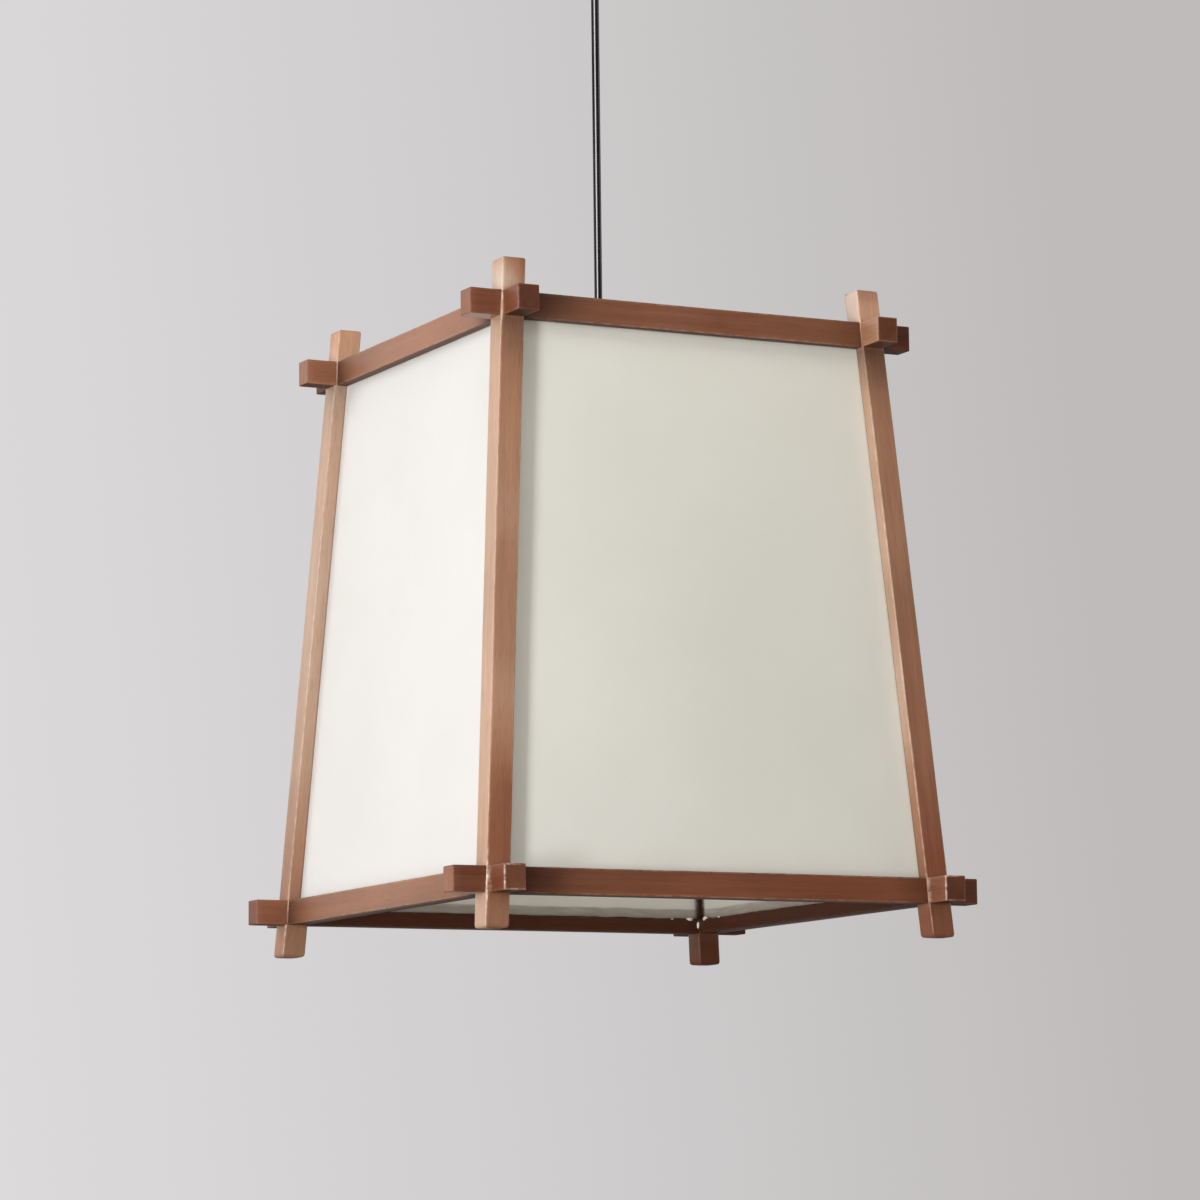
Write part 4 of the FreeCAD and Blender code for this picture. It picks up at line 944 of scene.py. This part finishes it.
skirt.turn([(16.8, -313.3), (17.0, -313.1), (19.2, -313.1), (19.45, -313.25), (19.5, -313.6)] + [(19.5, -314.2 - 0.42 * i) for i in range(13)]
           + [(19.5, -319.6), (19.3, -320.0), (18.7, -320.4)] + rows + [(18.6, -342.4), (18.9, -343.0), (18.9, -345.9), (18.7, -346.6), (18.2, -347.1),
              (17.4, -347.1), (16.95, -346.8), (16.8, -346.2), (16.8, -330.0)],
           sides=192, shape=ribbed(32, 0.40, 19.45, -319.3, -314.2, cut), closed=True)
skirt.make("lampholder_skirt", BAKELITE, "lamp", "black_bakelite", "lampholder_body")
insert = Solid()
insert.turn([(0.0, -314.1), (4.0, -314.1), (4.4, -314.4), (4.6, -315.6), (9.0, -315.8), (13.0, -315.8), (13.4, -315.4), (13.8, -314.4), (14.4, -314.1),
             (16.0, -314.1), (16.45, -314.3), (16.6, -314.8), (16.6, -320.4), (16.4, -320.9), (15.9, -321.1), (11.0, -321.1), (6.0, -321.0), (0.0, -321.0)], sides=96)
for x in (-9.0, 9.0):
    insert.turn([(0.0, -313.9), (1.4, -313.9), (1.7, -314.1), (1.8, -314.6), (1.8, -315.9), (0.0, -315.9)], sides=40, x=x)
insert.make("lampholder_porcelain", PORCELAIN, "lamp", "porcelain", "lampholder_insert")

PITCH = 0.00057757 * 2 * math.pi * 1000  # the lampholder's thread, as the bulb's turn and travel are coupled


def rolled(base, low, high, run=1.2):
    def shape(a, r, z):
        if low <= z <= high:
            fade = clamp(min(z - low, high - z) / run)
            return r + 0.58 * fade * math.sin(2 * math.pi * (z / PITCH - a / (2 * math.pi))), z
        return r, z
    return shape


shell = Solid()
shell.turn([(13.3, -321.5 - 0.3 * i) for i in range(74)] + [(13.5, -343.9), (13.9, -344.4), (14.4, -344.8), (14.6, -345.1), (14.9, -345.0), (14.8, -344.6),
            (14.3, -344.1), (13.9, -343.6)] + [(13.75, -343.4 + 0.3 * i) for i in range(74)] + [(13.7, -321.2), (9.0, -321.2), (9.0, -321.5)],
           sides=96, shape=rolled(13.3, -343.4, -321.6), closed=True)
shell.make("screw_shell_rolled", BRASS, "lamp", "brass", "screw_shell")
leaf = Solid()
line = [(-4.6, -321.15), (-3.2, -321.2), (-1.8, -321.55), (-0.6, -322.1), (0.6, -322.45), (1.6, -322.5), (2.5, -322.3), (3.0, -321.9)]
rows = []
for i, (x, z) in enumerate(line):
    w = 2.4 - 0.10 * i
    rows.append([(x, -w, z), (x, w, z), (x, w, z - 0.3), (x, -w, z - 0.3)])
leaf.rows(rows)
leaf.make("contact_leaf", BRASS, "lamp", "brass", "centre_contact", sharp=28.0)

# bulb
tip = Solid()
tip.turn([(0.0, -325.2), (4.5, -325.2), (4.8, -325.05), (4.8, -324.8), (4.55, -324.5), (3.9, -324.1), (3.5, -323.75), (3.0, -323.35), (2.2, -323.1), (1.1, -323.0),
          (0.0, -323.0)], sides=64)
tip.make("bulb_solder_tip", BRASS, "bulb_contact", "brass", "bulb_tip")
vitrite = Solid()
vitrite.turn([(0.0, -325.5), (5.4, -325.5), (5.9, -325.6), (6.1, -325.9), (6.5, -326.6), (7.4, -327.4), (8.8, -328.1), (10.2, -328.5), (10.8, -328.7), (0.0, -328.7)], sides=72)
vitrite.make("bulb_vitrite", BAKELITE, "bulb", "black_bakelite", "bulb_insulator")
screw = Solid()
screw.turn([(0.0, -328.72), (10.9, -328.72), (11.7, -328.85), (12.2, -329.2)] + [(12.6, -329.6 - 0.3 * i) for i in range(53)]
           + [(12.75, -345.6), (13.0, -346.0), (13.15, -346.5), (13.2, -347.2), (13.15, -348.6), (13.0, -349.05), (12.7, -349.2), (0.0, -349.2)],
           sides=96, shape=rolled(12.6, -345.3, -329.5))
screw.make("bulb_screw_cap", NICKEL, "bulb", "bulb_nickel", "bulb_cap")
cone = Solid()
side = []
for i in range(33):
    t = i / 32
    side.append((13.8 + 14.5 * (0.35 * t + 0.65 * t * t * (3 - 2 * t)), -349.9 - 36.4 * t))
cone.turn([(0.0, -349.25), (13.1, -349.25), (13.6, -349.4)] + side + [(28.4, -386.6), (28.2, -386.8), (28.2, -387.1), (28.45, -387.3), (28.45, -387.7), (28.2, -387.8),
           (0.0, -387.8)], sides=120)
cone.make("bulb_housing", BULB_WHITE, "bulb", "bulb_plastic", "bulb_body")
globe = Solid()
globe.turn([(0.0, -387.85), (27.9, -387.85)] + [(30.0 * math.cos(math.radians(t)), -397.18 + 30.0 * math.sin(math.radians(t))) for t in range(18, -90, -3)]
           + [(0.0, -427.18)], sides=120)
globe.make("bulb_diffuser", OPAL, "bulb", "opal_globe", "bulb_globe")

# dried glue at the inner lower corners, where two panels end on the ledges of the bottom rails
beads = Solid()


def bead(x, y, z, rx, ry, rz, k):
    rows = []
    for i in range(9):
        t = math.pi * i / 8
        rows.append([])
        for j in range(14):
            a = 2 * math.pi * j / 14
            d = (math.sin(t) * math.cos(a), math.sin(t) * math.sin(a), math.cos(t))
            g = 1 + 0.35 * wob(k, 1.7 * d[0], 1.7 * d[1], 1.7 * d[2])
            rows[-1].append((x + rx * g * d[0], y + ry * g * d[1], z + rz * g * d[2]))
    beads.rows(rows)


k = 300
for sx in (-1, 1):
    for sy in (-1, 1):
        for x, y, z, rx, ry, rz in ((133.6, 140.6, -634.5, 2.6, 0.9, 1.1), (140.6, 132.4, -634.4, 0.9, 2.7, 1.4), (138.9, 138.9, -638.0, 0.9, 0.9, 2.0),
                                    (120.5, 140.3, -634.5, 1.0, 0.6, 0.5), (140.4, 112.0, -634.4, 0.6, 1.3, 0.6)):
            k += 1
            bead(sx * (x + 0.8 * wob(k, 0.3)), sy * (y + 0.8 * wob(k, 1.3)), z, rx, ry, rz, k)
beads.make("panel_glue_beads", GLUE, "lamp", "panel_fabric", sharp=60.0)

# ---------------------------------------------------------------------------------------------------------------------
# Stage: pale floor far below, soft daylight that is brighter from the left, and a large soft lamp.
world = bpy.data.worlds.new("studio")
scene.world = world
world.use_nodes = True
wt = world.node_tree
wt.nodes.clear()
w_out = wt.nodes.new("ShaderNodeOutputWorld")
w_bg = wt.nodes.new("ShaderNodeBackground")
w_tc = wt.nodes.new("ShaderNodeTexCoord")
w_dot = wt.nodes.new("ShaderNodeVectorMath")
w_dot.operation = "DOT_PRODUCT"
w_dot.inputs[1].default_value = (-math.cos(YAW), math.sin(YAW), -0.10)
w_map = wt.nodes.new("ShaderNodeMapRange")
w_map.inputs["From Min"].default_value = -1.0
w_map.inputs["From Max"].default_value = 1.0
w_ramp = wt.nodes.new("ShaderNodeValToRGB")
stops = [(0.0, (0.30, 0.285, 0.28)), (0.30, (0.40, 0.385, 0.38)), (0.434, (0.515, 0.492, 0.488)), (0.50, (0.62, 0.605, 0.607)),
         (0.566, (0.715, 0.702, 0.708)), (0.70, (0.76, 0.75, 0.755)), (1.0, (0.92, 0.91, 0.91))]
while len(w_ramp.color_ramp.elements) < len(stops):
    w_ramp.color_ramp.elements.new(0.5)
for el, (pos, c) in zip(w_ramp.color_ramp.elements, stops):
    el.position, el.color = pos, (*c, 1.0)
wt.links.new(w_tc.outputs["Generated"], w_dot.inputs[0])
wt.links.new(w_dot.outputs["Value"], w_map.inputs["Value"])
wt.links.new(w_map.outputs[0], w_ramp.inputs[0])
w_seen = wt.nodes.new("ShaderNodeValToRGB")
stops = [(0.434, (0.515, 0.492, 0.488)), (0.50, (0.62, 0.605, 0.607)), (0.566, (0.715, 0.702, 0.708)), (0.70, (0.76, 0.75, 0.755))]
while len(w_seen.color_ramp.elements) < len(stops):
    w_seen.color_ramp.elements.new(0.5)
for el, (pos, c) in zip(w_seen.color_ramp.elements, stops):
    el.position, el.color = pos, (*c, 1.0)
wt.links.new(w_map.outputs[0], w_seen.inputs[0])
w_path = wt.nodes.new("ShaderNodeLightPath")
w_mix = wt.nodes.new("ShaderNodeMix")
w_mix.data_type = "RGBA"
wt.links.new(w_path.outputs["Is Camera Ray"], w_mix.inputs[0])
wt.links.new(w_ramp.outputs[0], w_mix.inputs[6])
wt.links.new(w_seen.outputs[0], w_mix.inputs[7])
wt.links.new(w_mix.outputs[2], w_bg.inputs["Color"])
w_part = wt.nodes.new("ShaderNodeMapRange")
w_part.inputs["To Min"].default_value, w_part.inputs["To Max"].default_value = 0.30, 1.0
wt.links.new(w_path.outputs["Is Camera Ray"], w_part.inputs["Value"])
wt.links.new(w_part.outputs[0], w_bg.inputs["Strength"])
wt.links.new(w_bg.outputs[0], w_out.inputs[0])

floor = mesh_object("floor", [(-30, -30, -3.9), (30, -30, -3.9), (30, 30, -3.9), (-30, 30, -3.9)], [(0, 1, 2, 3)])
fm = Mat("floor_paint")
fp = fm.n("TexCoord").outputs["Object"]
fm.set(Base_Color=fm.ramp(fm.noise(fm.scaled(fp, (1.5, 1.5, 1.5))), (0.3, (0.70, 0.69, 0.69)), (0.7, (0.74, 0.73, 0.73))), Roughness=0.8)
fm.set(Emission_Color=(0.60, 0.585, 0.58, 1.0), Emission_Strength=0.80)  # lit evenly on its own, so that it stays pale from every side
floor.data.materials.append(fm.m)
floor.visible_diffuse = floor.visible_glossy = floor.visible_transmission = False
floor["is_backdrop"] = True


def area_light(name, place, target, size, power, color=(1, 1, 1)):
    d = bpy.data.lights.new(name, "AREA")
    d.shape, d.size, d.size_y = "RECTANGLE", size[0], size[1]
    d.energy, d.color = power, color
    o = bpy.data.objects.new(name, d)
    o.location = place
    o.rotation_euler = (Vector(target) - Vector(place)).to_track_quat("-Z", "Y").to_euler()
    scene.collection.objects.link(o)
    o.visible_camera = False
    return o


def softbox(name, bearing, height, far, size, power):
    # bearing from the front towards the left, height above the lantern's middle, both in degrees
    b, h = math.radians(bearing), math.radians(height)
    way = Vector((-math.sin(b) * math.cos(h), -math.cos(b) * math.cos(h), math.sin(h)))
    return area_light(name, Vector((0, 0, -0.45)) + way * far, (0, 0, -0.45), size, power)


softbox("key", 59, -5, 2.2, (0.36, 1.1), 38.5).data.color = (0.99, 0.997, 1.03)
left_back = softbox("left_back", 122, 30, 2.8, (1.4, 1.8), 34.0)
softbox("left_sheen", 153, 8, 2.8, (1.6, 1.2), 4.5)
front_low = softbox("front_low", 2, 8, 2.8, (1.6, 1.6), 12.5)
softbox("front_high", 20, 60, 2.8, (1.6, 1.6), 28.0)
softbox("floor_bounce", 60, -35, 2.8, (1.6, 1.6), 11.5)
softbox("right_fill", -75, 12, 2.8, (1.6, 1.6), 13.0)
softbox("back_fill", -150, 15, 2.8, (1.6, 1.6), 9.0)
# a broad strip lamp at the left of the cord, shaded off from the lantern, for the cord's long highlight
b = math.radians(49)
strip = area_light("cord_strip", Vector((-2.2 * math.sin(b), -2.2 * math.cos(b), 0.34)), (0, 0, -0.18), (1.3, 0.9), 60.0)
lit, unlit = bpy.data.collections.new("lit_by_strip"), bpy.data.collections.new("shaded_from_boxes")
for o in (cord_upper, cord_lower):
    lit.objects.link(o)
    unlit.objects.link(o)
for item in unlit.collection_objects:
    item.light_linking.link_state = "EXCLUDE"
strip.light_linking.receiver_collection = lit
front_low.light_linking.receiver_collection = left_back.light_linking.receiver_collection = unlit

low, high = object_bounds()
{"cad": [list(cad_low), list(cad_high)], "visual": [list(low), list(high)]}
